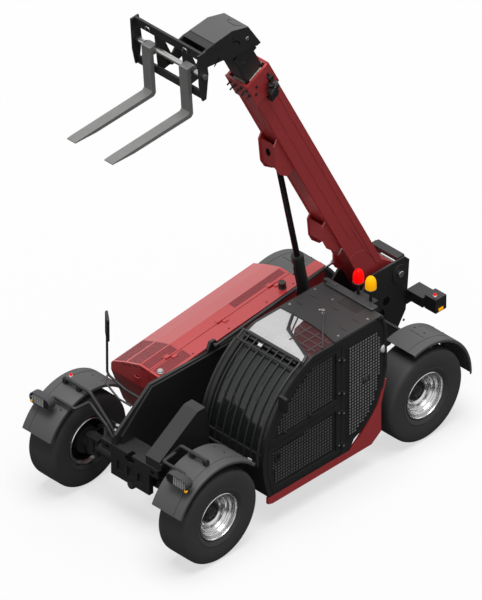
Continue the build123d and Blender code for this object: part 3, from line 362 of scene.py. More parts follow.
def prism(outline, place, depth):
    # straight body: place turns (a, b, c) into the model's frame, outline holds (a, b) and depth two values of c
    return loft([[place(a, b, c) for a, b in outline] for c in depth])


def around(centre, first, second, axis, profile, count, closed=False):
    # profile of (radius, height) turned about the axis
    return loft([[centre + axis * w + (first * c + second * s) * r for r, w in profile]
                 for c, s in circle(count)], ring=True, closed=closed)


def roundBody(centre, axis, profile, count=32):
    first = axis.orthogonal().normalized()
    return around(centre, first, axis.cross(first), axis, profile, count)


def bar(corner, other, edge=0.003):
    # box with small chamfers between two corners
    low, high = ([pick(a, b) for a, b in zip(corner, other)] for pick in (min, max))
    sections = []
    for z, cut in ((low[2], edge), (low[2] + edge, 0), (high[2] - edge, 0), (high[2], edge)):
        x0, x1, y0, y1 = low[0] + cut, high[0] - cut, low[1] + cut, high[1] - cut
        sections.append([Vector((x, y, z)) for x, y in (
            (x0 + edge, y0), (x1 - edge, y0), (x1, y0 + edge), (x1, y1 - edge),
            (x1 - edge, y1), (x0 + edge, y1), (x0, y1 - edge), (x0, y0 + edge))])
    return loft(sections)


def newTree(name, sockets):
    tree = bpy.data.node_groups.new(name, "GeometryNodeTree")
    tree.interface.new_socket("Geometry", in_out="INPUT", socket_type="NodeSocketGeometry")
    for label, kind, value in sockets + [("Material", "Material", None)]:
        socket = tree.interface.new_socket(label, in_out="INPUT", socket_type="NodeSocket" + kind)
        if value is not None:
            socket.default_value = value
    tree.interface.new_socket("Geometry", in_out="OUTPUT", socket_type="NodeSocketGeometry")
    return tree, addNode(tree, "NodeGroupInput").outputs


def finishTree(tree, source, geometry):
    real = addNode(tree, "GeometryNodeRealizeInstances", {0: geometry})
    dressed = addNode(tree, "GeometryNodeSetMaterial", {"Geometry": real, "Material": source["Material"]})
    addNode(tree, "NodeGroupOutput", {0: dressed})


def onPoints(tree, source, shape):
    # one shape on every point, its height along "facing" and its length along "along"
    ways = [addNode(tree, "GeometryNodeInputNamedAttribute", {"Name": name}, data_type="FLOAT_VECTOR")
            for name in ("facing", "along")]
    upright = addNode(tree, "FunctionNodeAlignRotationToVector", {"Vector": ways[0]}, axis="Z")
    turn = addNode(tree, "FunctionNodeAlignRotationToVector", {"Rotation": upright, "Vector": ways[1]},
                   axis="X", pivot_axis="Z")
    copies = addNode(tree, "GeometryNodeInstanceOnPoints", {"Points": source["Geometry"], "Instance": shape,
                                                            "Rotation": turn})
    finishTree(tree, source, copies)


boltTree, source = newTree("hexBolts", [("Radius", "Float", 0.012), ("Height", "Float", 0.008)])
washerRadius = addNode(boltTree, "ShaderNodeMath", {0: source["Radius"], 1: 1.45}, operation="MULTIPLY")
washer = addNode(boltTree, "GeometryNodeMeshCylinder", {"Vertices": 14, "Radius": washerRadius, "Depth": 0.004})
head = addNode(boltTree, "GeometryNodeMeshCylinder", {
    "Vertices": 6, "Radius": source["Radius"], "Depth": source["Height"]})
lift = addNode(boltTree, "ShaderNodeMath", {0: source["Height"], 1: 0.5}, operation="MULTIPLY")
rise = addNode(boltTree, "ShaderNodeCombineXYZ", {"Z": lift})
raised = addNode(boltTree, "GeometryNodeTransform", {"Geometry": head, "Translation": rise})
both = addNode(boltTree, "GeometryNodeJoinGeometry")
boltTree.links.new(washer.outputs[0], both.inputs[0])
boltTree.links.new(raised.outputs[0], both.inputs[0])
onPoints(boltTree, source, both)

discTree, source = newTree("roundStuds", [("Sides", "Int", 12), ("Radius", "Float", 0.01),
                                          ("Height", "Float", 0.006)])
onPoints(discTree, source, addNode(discTree, "GeometryNodeMeshCylinder", {
    "Vertices": source["Sides"], "Radius": source["Radius"], "Depth": source["Height"]}))

blockTree, source = newTree("blocks", [("Size", "Vector", (0.1, 0.02, 0.01))])
onPoints(blockTree, source, addNode(blockTree, "GeometryNodeMeshCube", {"Size": source["Size"]}))

cellTree, source = newTree("perforatedCells", [
    ("Length", "Float", 0.04), ("Width", "Float", 0.038), ("Strand", "Float", 0.014),
    ("Thickness", "Float", 0.003)])
path, edge = (addNode(cellTree, "GeometryNodeCurvePrimitiveQuadrilateral",
                      {"Width": source[wide], "Height": source[tall]})
              for wide, tall in (("Length", "Width"), ("Strand", "Thickness")))
onPoints(cellTree, source, addNode(cellTree, "GeometryNodeCurveToMesh", {"Curve": path, "Profile Curve": edge}))

tubeTree, source = newTree("bentTubes", [("Radius", "Float", 0.01), ("Sides", "Int", 12),
                                         ("Bend", "Float", 0.03)])
lines = addNode(tubeTree, "GeometryNodeMeshToCurve", {0: source["Geometry"]})
bent = addNode(tubeTree, "GeometryNodeFilletCurve", {
    "Curve": lines, "Radius": source["Bend"], "Limit Radius": True, "Count": 5}, mode="POLY")
ring = addNode(tubeTree, "GeometryNodeCurvePrimitiveCircle",
               {"Resolution": source["Sides"], "Radius": source["Radius"]})
finishTree(tubeTree, source, addNode(tubeTree, "GeometryNodeCurveToMesh", {
    "Curve": bent, "Profile Curve": ring, "Fill Caps": True}))


def runTree(name, tree, seed, values, material, body):
    # puts the tree on a seed mesh and keeps the result as a plain mesh
    holder = bpy.data.objects.new(name + "Seed", seed)
    scene.collection.objects.link(holder)
    modifier = holder.modifiers.new("tree", "NODES")
    modifier.node_group = tree
    inputs = {item.name: item.identifier for item in tree.interface.items_tree if item.in_out == "INPUT"}
    for label, value in {**values, "Material": finish[material]}.items():
        modifier[inputs[label]] = value
    mesh = bpy.data.meshes.new_from_object(holder.evaluated_get(bpy.context.evaluated_depsgraph_get()))
    holder.modifiers.remove(modifier)
    bpy.data.objects.remove(holder)
    mesh.name = name
    return placePiece(name, mesh, body, 40)


def copiesOf(name, tree, spots, values, material, body):
    # spots are (place, facing) or (place, facing, along)
    mesh = bpy.data.meshes.new("points")
    mesh.from_pydata([tuple(spot[0]) for spot in spots], [], [])
    facing, along = (mesh.attributes.new(label, "FLOAT_VECTOR", "POINT") for label in ("facing", "along"))
    for i, spot in enumerate(spots):
        facing.data[i].vector = spot[1]
        along.data[i].vector = spot[2] if len(spot) > 2 else (1, 0, 0.001)
    runTree(name, tree, mesh, values, material, body)


def bolts(name, spots, body, radius=0.012, height=0.01, material="blackPlastic"):
    copiesOf(name, boltTree, spots, {"Radius": radius, "Height": height}, material, body)


def tubes(name, paths, body, radius, material="blackPowderCoat", bend=0.03, sides=12):
    verts, edges = [], []
    for path in paths:
        edges += [(len(verts) + i, len(verts) + i + 1) for i in range(len(path) - 1)]
        verts += [tuple(point) for point in path]
    mesh = bpy.data.meshes.new("paths")
    mesh.from_pydata(verts, edges, [])
    return runTree(name, tubeTree, mesh, {"Radius": radius, "Sides": sides, "Bend": bend}, material, body)


print("helpers and trees ready")

# wheels
wheelSizes = {"radius": 0.5375, "halfWidth": 0.2, "shoulder": 0.052, "rimRadius": 0.27, "seat": 0.248,
              "nuts": 10, "nutCircle": 0.085, "nutPlace": 0.0555, "slotDepth": 0.045, "segments": 96}


def tyreProfile(size):
    r, w, s = size["radius"], size["halfWidth"], size["shoulder"]
    half = [(size["seat"] + 0.004, 0.150), (size["rimRadius"] + 0.004, 0.153),
            (size["rimRadius"] + 0.010, 0.168), (0.300, 0.184), (0.318, 0.1915), (0.322, 0.1945),
            (0.330, 0.1945), (0.334, 0.192), (0.360, 0.1965), (0.420, w), (0.470, w), (r - s, w - 0.003)]
    half += [(r - s + s * rise, w - 0.003 - s + s * run) for run, rise in quarterArc(6)]
    half += [(r - 0.0005, w - s - 0.012), (r, 0.09), (r, 0.0)]
    return [(radius, -across) for radius, across in half[:-1]] + half[::-1]


rimProfile = [
    (0.270, 0.152), (0.2725, 0.160), (0.2715, 0.170), (0.266, 0.1745), (0.259, 0.173), (0.255, 0.166),
    (0.2525, 0.150), (0.249, 0.136), (0.246, 0.128), (0.240, 0.127), (0.236, 0.130), (0.230, 0.130),
    (0.226, 0.125), (0.222, 0.112), (0.216, 0.098), (0.212, 0.094), (0.205, 0.096), (0.199, 0.096),
    (0.194, 0.090), (0.188, 0.076), (0.184, 0.070), (0.180, 0.068), (0.160, 0.064), (0.156, 0.063),
    (0.148, 0.064), (0.140, 0.060), (0.132, 0.050), (0.124, 0.042), (0.112, 0.040),
    (0.112, 0.012), (0.180, 0.010), (0.222, -0.02), (0.232, -0.10), (0.236, -0.150), (0.250, -0.168),
    (0.266, -0.1745), (0.2725, -0.168), (0.270, -0.152), (0.248, -0.150), (0.248, 0.150)]
slotRings = (22, 23)  # the dish's points between its two inner rings
hubProfile = [(0.112, 0.020), (0.112, 0.052), (0.109, 0.0565), (0.100, 0.0580), (0.097, 0.0545),
              (0.068, 0.0545), (0.064, 0.060), (0.060, 0.0625), (0.040, 0.0635), (0.0, 0.0640)]
# dark skin on the dish's inner side
liningProfile = [(0.112, 0.0108), (0.1795, 0.0088), (0.2208, -0.0208), (0.2309, -0.1), (0.2349, -0.150),
                 (0.2342, -0.150), (0.2300, -0.1), (0.2200, -0.0213), (0.1790, 0.0080), (0.112, 0.0100)]


def turned(profile, centre, side, count, closed=True):
    return around(centre, frontWay, upWay, leftWay * side, profile, count, closed)


def wheelCentre(wheel):
    low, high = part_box("tyre_" + wheel)
    return (low + high) / 2


def cornerName(start, wheel):
    return start + wheel.title().replace("_", "")


for wheel, side in wheelSides.items():
    body, centre, count = "wheel_" + wheel, wheelCentre(wheel), wheelSizes["segments"]
    tyre = makePiece(cornerName("tyre", wheel), turned(tyreProfile(wheelSizes), centre, side, count),
                     "tyreRubber", body, 40)
    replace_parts(tyre, "tyre_" + wheel)
    verts, faces = turned(rimProfile, centre, side, count)
    for i in range(count):
        if 3 <= i % 12 <= 9:  # eight elongated slots
            for k in slotRings:
                verts[i * len(rimProfile) + k].y -= side * wheelSizes["slotDepth"]
    dish = makePiece(cornerName("rim", wheel), (verts, faces), "silverRimPaint", body, 24)
    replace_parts(dish, "rim_" + wheel)
    makePiece(cornerName("rimLining", wheel), turned(liningProfile, centre, side, 64), "blackPowderCoat", body,
              30)
    makePiece(cornerName("hub", wheel), turned(hubProfile, centre, side, 48, False), "blackPowderCoat", body,
              angle=30)
    nuts = [(centre + Vector((wheelSizes["nutCircle"] * c, side * wheelSizes["nutPlace"],
                              wheelSizes["nutCircle"] * s)),
             (0, side, 0)) for c, s in circle(wheelSizes["nuts"])]
    bolts(cornerName("wheelNuts", wheel), nuts, body, 0.0095, 0.012, "castIron")
print("wheels ready")

# fenders
fenderSizes = {"radius": 0.662, "wall": 0.008, "lip": 0.034, "width": 0.42, "edge": 0.018, "groove": 0.1,
               "steps": 40, "front": (25, 138), "rear": (72, 182), "boltTurns": (0.28, 0.52, 0.76),
               "boltAcross": (0.2, 0.34), "lidPlace": 0.28, "lidLift": 0.0005}


def fenderSection(size):
    # outline of (across from the visible edge, inward drop), one wall thick
    w, e, lip, t, g = size["width"], size["edge"], size["lip"], size["wall"], size["groove"]
    outside = [(0.0, lip), (0.0, e)] + [(e - e * c, e - e * s) for c, s in quarterArc(6)]
    outside += [(e, 0), (g - 0.006, 0), (g - 0.004, 0.0045), (g + 0.004, 0.0045), (g + 0.006, 0),
                (w - 0.012, 0), (w - 0.003, 0.003), (w, 0.012), (w, lip)]
    return outside + [(w - t, lip), (w - t, 0.011), (w - 0.011, t), (e, t), (0.010, 0.010), (t, e), (t, lip)]


for wheel, side in wheelSides.items():
    low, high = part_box("fender_" + wheel)
    centre = wheelCentre(wheel)
    centre.y = high.y if side > 0 else low.y
    arc = wheel.split("_")[0]
    first, last = (radians(a) for a in fenderSizes[arc])

    def onFender(turn, across, lift=0.0):
        # place and outward direction at a share of the fender's arc
        a = first + (last - first) * turn
        out = Vector((cos(a), 0, sin(a)))
        return centre + out * (fenderSizes["radius"] + lift) - leftWay * side * across, out

    sections = [[onFender(i / fenderSizes["steps"], across, -drop)[0]
                 for across, drop in fenderSection(fenderSizes)]
                for i in range(fenderSizes["steps"] + 1)]
    shell = makePiece(cornerName("fender", wheel), loft(sections), "mouldedFenderPlastic", "chassis",
                      28)
    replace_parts(shell, "fender_" + wheel)
    spots = [onFender(turn, across) for turn in fenderSizes["boltTurns"]
             for across in fenderSizes["boltAcross"]]
    bolts(cornerName("fenderBolts", wheel), spots, "chassis", 0.008, 0.005)
    if arc == "rear":  # service lid: a fine line on the fender's top
        reach = 0.12 / (last - first)
        line = [onFender(fenderSizes["lidPlace"] + turn * reach, across, fenderSizes["lidLift"])[0]
                for turn, across in ((-1, 0.13), (-1, 0.33), (1, 0.33))]
        tubes(cornerName("fenderLid", wheel), [line], "chassis", 0.002, "holeShadow", 0.0, 6)
print("fenders ready")

# head
headSizes = {"halfWidth": 0.18, "tubeEnd": 4.5, "tubeHalfWidth": 0.1075, "markLift": 0.0005}
halfHead = headSizes["halfWidth"]
headSide = halfHead + headSizes["markLift"]


def headPoint(along, across, y=0.0):
    return boomPoint(headSizes["tubeEnd"] + along, across, y)


def ribbon(line, width, lift, thickness, place):
    # folded sheet: follows a line of (along, across) points over a width of y values; a lift below 0 turns it over
    sections = []
    for i, point in enumerate(line):
        run = (Vector(line[min(i + 1, len(line) - 1)]) - Vector(line[max(i - 1, 0)])).normalized()
        out = Vector((-run.y, run.x)) * sign(lift)
        near = Vector(point) + out * abs(lift)
        far = near + out * thickness
        sections.append(placed(place, (*near, width[0]), (*near, width[1]), (*far, width[1]), (*far, width[0])))
    return loft(sections)


makePiece("headCover", ribbon([(0.4106, -0.470), (0.322, -0.228), (0.161, -0.046)],
                              (0.004 - halfHead, halfHead - 0.004), -0.0015, 0.004, headPoint),
          "litCoverPowderCoat", "inner_boom")
makePiece("innerBoomBelly", ribbon([(0.02, -0.343), (-0.48, -0.343)], (-0.1, 0.1), 0.0015, 0.003, headPoint),
          "greyPowderCoat", "inner_boom")
# painted shade: a near-black tube along the cover's slot
slot = placed(headPoint, (0.19, -0.074, -0.03), (0.23, -0.118, -0.045), (0.245, -0.135, 0.03),
              (0.24, -0.129, 0.1), (0.20, -0.085, 0.12))
tubes("coverSlot", [slot], "inner_boom", 0.004, "holeShadow", 0.03, 6)
pinEnds = []
for along, across, radius, reach in ((0.062, -0.125, 0.024, halfHead),
                                     (-0.235, -0.255, 0.026, headSizes["tubeHalfWidth"])):
    profile = [(0.0, 0.0), (0.0, 0.010), (radius - 0.004, 0.010), (radius, 0.006), (radius, 0.0)]
    pinEnds += [around(headPoint(along, across, side * reach), boomAlong, boomUp, leftWay * side, profile, 32)
                for side in bothSides]
makePiece("headPinEnds", joined(pinEnds), "zincSteel", "inner_boom", angle=30)
boltPlaces = ((0.19, -0.19), (0.235, -0.26), (0.3, -0.42), (0.33, -0.48), (0.35, -0.7), (0.09, -0.1))
bolts("headBolts", [(headPoint(*place, side * halfHead), (0, side, 0)) for side in bothSides
                    for place in boltPlaces],
      "inner_boom", 0.008, 0.004)
# painted shade: near-black tubes along the head's slots
slots = []
for side in bothSides:
    turns = [radians(20 + i * 14) for i in range(7)]
    slots.append([headPoint(0.115 + 0.09 * cos(a), -0.315 + 0.09 * sin(a), side * headSide) for a in turns])
    slots.append(placed(headPoint, (0.2, -0.5, side * headSide), (0.17, -0.6, side * headSide)))
tubes("headSlots", slots, "inner_boom", 0.006, "holeShadow", 0.0, 6)
valve = [prism([(a0, c0), (a1, c0), (a1, c1), (a0, c1)], headPoint, (-halfHead, -halfHead - 0.05))
         for a0, c0, a1, c1 in ((-0.06, -0.26, 0.02, -0.16), (-0.055, -0.155, 0.0, -0.12))]
makePiece("headValveBlock", joined(valve), "castIron", "inner_boom")

# carriage: places count from its pin, with the carriage's own lean
carriageSizes = {"lean": 3.85, "shaft": (0.19, 0.21), "collarRadius": 0.041, "collarHalfWidth": 0.012,
                 "collars": (-0.455, -0.345, -0.222, 0.222, 0.345, 0.455),
                 "bolts": (-0.42, -0.3, -0.18, 0.18, 0.3, 0.42), "boltHeights": (0.45, -0.035)}
lean = radians(carriageSizes["lean"])
ahead = Vector((cos(lean), 0, -sin(lean)))
upward = Vector((sin(lean), 0, cos(lean)))


def carriagePoint(forward, up, y=0.0):
    return carriagePin + ahead * forward + upward * up + Vector((0, y, 0))


forward, up = carriageSizes["shaft"]
ring = [(forward + carriageSizes["collarRadius"] * c, up + carriageSizes["collarRadius"] * s)
        for c, s in circle(28)]
reach = carriageSizes["collarHalfWidth"]
makePiece("shaftCollars", joined(prism(ring, carriagePoint, (y - reach, y + reach))
                                 for y in carriageSizes["collars"]),
          "blackPowderCoat", "carriage")
spots = [(carriagePoint(0.21, height, y), ahead) for y in carriageSizes["bolts"]
         for height in carriageSizes["boltHeights"]]
bolts("carriageBolts", spots, "carriage", 0.011, 0.009)
locks = [placed(carriagePoint, (0.235, 0.44, y - 0.03), (0.235, 0.486, y - 0.03), (0.235, 0.486, y + 0.03),
                (0.235, 0.44, y + 0.03)) for y in (-0.268, 0.268)]
tubes("tineLocks", locks, "carriage", 0.005, "zincSteel", 0.02, 8)
pipes = [placed(headPoint, (0.0, -0.3, y * 0.6), (0.1, -0.5, y * 0.6), (0.2, -0.62, y), (0.27, -0.7, y))
         for y in (-0.12, 0.12)]
tubes("headHosePipes", pipes, "inner_boom", 0.011, "blackPlastic", 0.06)
print("head and carriage ready")

# boom
boomSizes = {"halfWidth": 0.1425, "top": -0.06, "bottom": -0.38, "length": 3.99, "collarLength": 0.33,
             "collarWall": 0.016, "lugCheek": (0.1, 0.118), "lugBridge": 0.012, "seamLift": 0.0008}
halfBoom, top, bottom = boomSizes["halfWidth"], boomSizes["top"], boomSizes["bottom"]
collarStart = boomSizes["length"] - boomSizes["collarLength"]
collarSide = halfBoom + boomSizes["collarWall"]


def boomStrip(start, end, low, high, side, thickness):
    # flat strip on the boom's side
    return prism([(start, low), (end, low), (end, high), (start, high)], boomPoint,
                 (side * halfBoom, side * (halfBoom + thickness)))


flanges = []
for side in bothSides:
    flanges.append(boomStrip(0.32, collarStart, top, -0.135, side, 0.005))
    flanges.append(boomStrip(0.72, collarStart, bottom, -0.362, side, 0.004))
for side in bothSides:
    y, inner = side * (halfBoom - 0.01), side * (halfBoom - 0.04)
    flanges.append(loft([placed(boomPoint, (along, bottom, y), (along, -0.386, y), (along, -0.386, inner),
                                (along, bottom, inner)) for along in (1.3, collarStart)]))
makePiece("boomFlanges", joined(flanges), "redEnamel", "boom")
makePiece("boomTopCover", ribbon([(1.55, top), (collarStart, top)], (-0.11, 0.11), 0.0004, 0.006, boomPoint),
          "redEnamel", "boom")
makePiece("boomSidePanels", joined(boomStrip(0.95, collarStart, -0.19, -0.26, side, 0.0035)
                                   for side in bothSides),
          "redEnamel", "boom")
seams = []
for side in bothSides:
    y = side * (halfBoom + boomSizes["seamLift"])
    seams += [placed(boomPoint, (0.25, -0.1, y), (0.62, -0.17, y), (1.2, -0.19, y)),
              placed(boomPoint, (0.62, -0.17, y), (0.72, -0.28, y), (0.72, -0.378, y))]
for side in bothSides:
    seams += [[boomPoint(along, bottom - 0.0006, side * y) for along, y in line] for line in (
        ((3.6, 0.1), (3.3, 0.06), (3.05, 0.015)), ((3.05, 0.015), (2.85, 0.02), (2.7, 0.07)))]
tubes("boomSeams", seams, "boom", 0.0025, "redEnamelShaded", 0.05, 6)
spots = [(boomPoint(along, across, side * collarSide), (0, side, 0)) for side in bothSides
         for along, across in ((3.88, -0.30), (3.8, -0.345), (3.88, -0.12))]
bolts("collarBolts", spots, "boom", 0.012, 0.008)
studs = [(boomPoint(along, bottom - boomSizes["collarWall"], -0.12 + i * 0.08), -boomUp)
         for i in range(4) for along in (3.91, 3.82)]
copiesOf("collarStuds", discTree, studs, {"Sides": 10, "Radius": 0.009, "Height": 0.10}, "blackPlastic", "boom")
bolts("collarStudNuts", studs, "boom", 0.014, 0.014)
lips = [loft([placed(boomPoint, (along, low, -collarSide), (along, low, collarSide), (along, high, collarSide),
                     (along, high, -collarSide)) for along in (boomSizes["length"], 4.0)])
        for low, high in ((-0.044, -0.056), (-0.384, -0.396))]
makePiece("collarLips", joined(lips), "redEnamel", "boom")

# lugs under the boom: cheeks, and a bridge plate ahead of the eye; the upper one has an oval opening
lugs, runs = [], []
for cheekLine, (a0, c0), (a1, c1) in (
        ([(2.41, -0.381), (2.98, -0.381), (2.93, -0.455), (2.66, -0.56), (2.55, -0.555), (2.45, -0.50)],
         (2.63, -0.548), (2.93, -0.44)),
        ([(0.93, -0.381), (1.43, -0.381), (1.40, -0.44), (1.20, -0.52), (1.10, -0.52), (0.98, -0.47)],
         (1.20, -0.512), (1.40, -0.43))):
    lugs += [prism(cheekLine, boomPoint, [side * y for y in boomSizes["lugCheek"]]) for side in bothSides]
    run = (Vector((a1, c1)) - Vector((a0, c0))).normalized()
    out = Vector((-run.y, run.x)) * boomSizes["lugBridge"]
    lugs.append(prism([(a0, c0), (a1, c1), (a1 + out.x, c1 + out.y), (a0 + out.x, c0 + out.y)], boomPoint,
                      (-0.1, 0.1)))
    runs.append(run)
makePiece("boomLugs", joined(lugs), "redEnamel", "boom")
long, out = boomAlong * runs[0].x + boomUp * runs[0].y, boomAlong * runs[0].y - boomUp * runs[0].x
# painted shade: the oval opening is a near-black disc let into the lug's bridge
ring = [boomPoint(2.80, -0.488) + out * 0.002 + long * 0.05 * c + leftWay * 0.032 * s for c, s in circle(24)]
opening = loft([[point - out * depth for point in ring] for depth in (0.0, 0.004)])
makePiece("boomLugOpening", opening, "holeShadow", "boom")

# work lamp: round lamp looking forward, with its driver and two brackets beside it
lampSizes = {"place": (3.75, -0.15, 0.055), "driver": (3.70, -0.2, 0.075), "ledPitch": 0.017, "led": 0.012}
lampAhead = (boomAlong * 0.6 - boomUp * 0.8).normalized()
lampUp = lampAhead.cross(leftWay).normalized()
lampSpot, driverSpot = (boomPoint(a, c, collarSide + y)
                        for a, c, y in (lampSizes["place"], lampSizes["driver"]))
lampBody = [roundBody(lampSpot, lampAhead, [(0.0, -0.045), (0.04, -0.04), (0.052, -0.02), (0.055, 0.018),
                                            (0.051, 0.022), (0.047, 0.016), (0.0, 0.012)]),
            roundBody(driverSpot, leftWay, [(0.0, -0.04), (0.056, -0.038), (0.06, -0.03), (0.06, 0.02),
                                            (0.052, 0.028), (0.0, 0.03)])]
for along, across in ((3.84, -0.12), (3.60, -0.23)):
    outline = [(along + a, across + c) for a, c in ((-0.02, -0.025), (0.02, -0.025), (0.02, 0.025),
                                                    (-0.02, 0.025))]
    lampBody.append(prism(outline, boomPoint, (collarSide - 0.016, collarSide + 0.05)))
makePiece("workLampBody", joined(lampBody), "blackPlastic", "boom", 30)
spots = [(lampSpot + lampAhead * 0.016 + (leftWay * i + lampUp * k) * lampSizes["ledPitch"], lampAhead, leftWay)
         for i in range(-2, 3) for k in range(-2, 3) if i * i + k * k <= 6]
copiesOf("workLampLeds", blockTree, spots, {"Size": (lampSizes["led"], lampSizes["led"], 0.005)}, "whiteLens",
         "boom")

# lift cylinder: two pipes along the barrel and the bolts of its gland
barrelAxis = Vector(joints["lift_rod_slide"]["axis"]).normalized()
barrelFoot = Vector(joints["lift_barrel_swing"]["pos_m"])
barrelOut = barrelAxis.cross(leftWay).normalized()


def barrelPoint(along, out, left=0.0):
    return barrelFoot + barrelAxis * along + barrelOut * out + leftWay * left


pipes = [placed(barrelPoint, (0.25, -0.075), (1.3, -0.075), (1.33, -0.055)),
         placed(barrelPoint, (0.35, -0.06, -0.05), (0.9, -0.06, -0.05), (0.95, -0.045, -0.04))]
tubes("liftPipes", pipes, "lift_barrel", 0.008, "blackPlastic", 0.02, 10)
bolts("glandBolts", [(barrelPoint(1.42, 0.048 * c, 0.048 * s), barrelAxis) for c, s in circle(6)],
      "lift_barrel", 0.007, 0.008)
print("boom ready")

# bonnet
bonnetSizes = {"front": -0.53, "height": 1.313, "slope": 0.103, "holePitch": 0.0155, "holeRadius": 0.0042,
               "capRadius": 0.04, "capHeight": 0.075, "boltRadius": 0.009,
               "boltPlaces": (-1.033, -1.556, -2.109, -2.5)}
bonnetProfile = [(-0.27, 0.0), (-0.43, 0.010), (-0.435, 0.012), (-0.57, 0.020), (-0.78, -0.050),
                 (-0.97, -0.130), (-0.99, -0.160)]


def onBonnet(x, y, lift=0.0):
    # place and outward direction on the bonnet's skin
    for (y0, z0), (y1, z1) in zip(bonnetProfile, bonnetProfile[1:]):
        if y >= y1:
            break
    tilt = (z1 - z0) / (y1 - y0)
    height = bonnetSizes["height"] + bonnetSizes["slope"] * (bonnetSizes["front"] - x) + z0 + tilt * (y - y0)
    out = Vector((bonnetSizes["slope"], -tilt, 1)).normalized()
    return rowPoint(x, y, height) + out * lift, out


def perforatedPatch(name, x, y, body):
    # thin sheet let into the skin, in the painted-shade red, with a grid of punched holes drawn as near-black discs
    # of painted shade
    corners = ((x[0], y[0]), (x[1], y[0]), (x[1], y[1]), (x[0], y[1]))
    sheet = loft([[onBonnet(*corner, lift)[0] for corner in corners] for lift in (0.0004, 0.0016)])
    makePiece(name, sheet, "redEnamelShaded", body)
    wide, long = y[0] - y[1], x[0] - x[1]
    rows, count = int(wide / bonnetSizes["holePitch"] * 1.15), int(long / bonnetSizes["holePitch"])
    spots = [onBonnet(x[0] - (k + 0.3 + 0.5 * (row % 2)) * long / (count + 0.4),
                      y[0] - (row + 0.5) * wide / rows, 0.0018)
             for row in range(rows) for k in range(count)]
    copiesOf(name + "Holes", discTree, spots, {"Sides": 6, "Radius": bonnetSizes["holeRadius"],
                                               "Height": 0.0012},
             "holeShadow", body)


for label, x, y, body in (("bonnetGrilleInner", (-0.555, -0.965), (-0.452, -0.562), "bonnet_lid"),
                          ("bonnetGrilleMiddle", (-0.555, -0.965), (-0.582, -0.765), "bonnet_lid"),
                          ("bonnetGrilleOuter", (-0.555, -0.965), (-0.795, -0.958), "bonnet_lid"),
                          ("bonnetGrilleRear", (-1.82, -2.56), (-0.472, -0.562), "bonnet_lid"),
                          ("stripGrille", (-0.56, -1.0), (-0.285, -0.415), "chassis")):
    perforatedPatch(label, x, y, body)
bolts("stripBolts", [onBonnet(x, -0.295) for x in bonnetSizes["boltPlaces"]], "chassis",
      bonnetSizes["boltRadius"], 0.006, "redEnamelShaded")


def ribbedCap(place, axis, radius, height):
    # screw cap with grip ribs
    sections = []
    for i, (c, s) in enumerate(circle(48)):
        grip = 0.0022 if i % 4 < 2 else 0.0
        turn = Vector((c, s, 0))
        turn = (turn - axis * turn.dot(axis)).normalized()
        sections.append([place + axis * w + turn * r for r, w in (
            (radius + 0.004, 0.0), (radius + 0.004, 0.008), (radius - grip, 0.012),
            (radius - grip, height - 0.006), (radius - 0.006, height), (0.0, height))])
    return loft(sections, ring=True, closed=False)


makePiece("tankCap", ribbedCap(*onBonnet(-2.38, -0.335), bonnetSizes["capRadius"], bonnetSizes["capHeight"]),
          "blackPlastic", "chassis", 25)
makePiece("fillerCap", ribbedCap(*onBonnet(-0.6, -0.335, 0.002), 0.032, 0.03), "zincSteel", "chassis",
          25)
frontX = bonnetSizes["front"] + 0.0005
# painted shade: near-black ovals for the latch pocket and four thin marks above it on the bonnet's front
marks = [prism([(y + wide * c, z + tall * s) for c, s in circle(24)], lambda y, z, x: rowPoint(x, y, z),
               (frontX - 0.001, frontX + 0.0012))
         for y, z, wide, tall in ((-0.60, 1.17, 0.035, 0.014), (-0.53, 1.305, 0.04, 0.003),
                                  (-0.63, 1.287, 0.035, 0.003), (-0.72, 1.255, 0.035, 0.003),
                                  (-0.80, 1.228, 0.035, 0.003))]
makePiece("bonnetLatchPocket", joined(marks), "holeShadow", "bonnet_lid")
latch = placed(rowPoint, (frontX + 0.001, -0.63, 1.17), (frontX + 0.012, -0.625, 1.17),
               (frontX + 0.012, -0.575, 1.17), (frontX + 0.001, -0.57, 1.17))
tubes("bonnetLatch", [latch], "bonnet_lid", 0.006, "redEnamel", 0.008, 10)
makePiece("stripFront", bar(rowPoint(-0.556, -0.431, 1.08), rowPoint(-0.533, -0.272, 1.309)), "redEnamel",
          "chassis")
print("bonnet ready")

# cab
cabSizes = {"inner": 0.225, "outer": 1.1, "arcX": -1.75, "arcZ": 0.82, "radius": 1.09, "roof": 1.85,
            "rear": -2.405, "pillar": -1.8, "holePitch": 0.038, "strand": 0.007, "split": 1.064,
            "splitFall": 0.0594, "windowRadius": 0.958, "windowLow": 0.483, "windowHigh": 1.707,
            "windowGap": 0.071, "windowY": 1.088, "quarterRadius": 0.618, "quarterZ": 1.13, "skinSteps": 8}
arcX, arcZ, hinge = cabSizes["arcX"], cabSizes["arcZ"], cabSizes["pillar"] + 0.073


def arcPoint(radius, angle, y):
    return rowPoint(arcX + radius * cos(radians(angle)), y, arcZ + radius * sin(radians(angle)))


def splitLine(x):
    return cabSizes["split"] - cabSizes["splitFall"] * (x - cabSizes["pillar"])


def doorHas(x, z, side):
    # holes inside the upper door's window where side is 1, and the lower one's where it is -1
    return (Vector((x - arcX, z - arcZ)).length < 0.935 and x > cabSizes["pillar"] + 0.12 and 0.505 < z < 1.688
            and side * (z - splitLine(x)) > 0.09)


def quarterHas(x, z):
    low = Vector((x - arcX, z - cabSizes["quarterZ"])).length < 0.585 or z > cabSizes["quarterZ"]
    return -2.345 < x < -1.895 and 0.56 < z < 1.685 and low and z < 1.64 + (x + 2.345) * 1.2


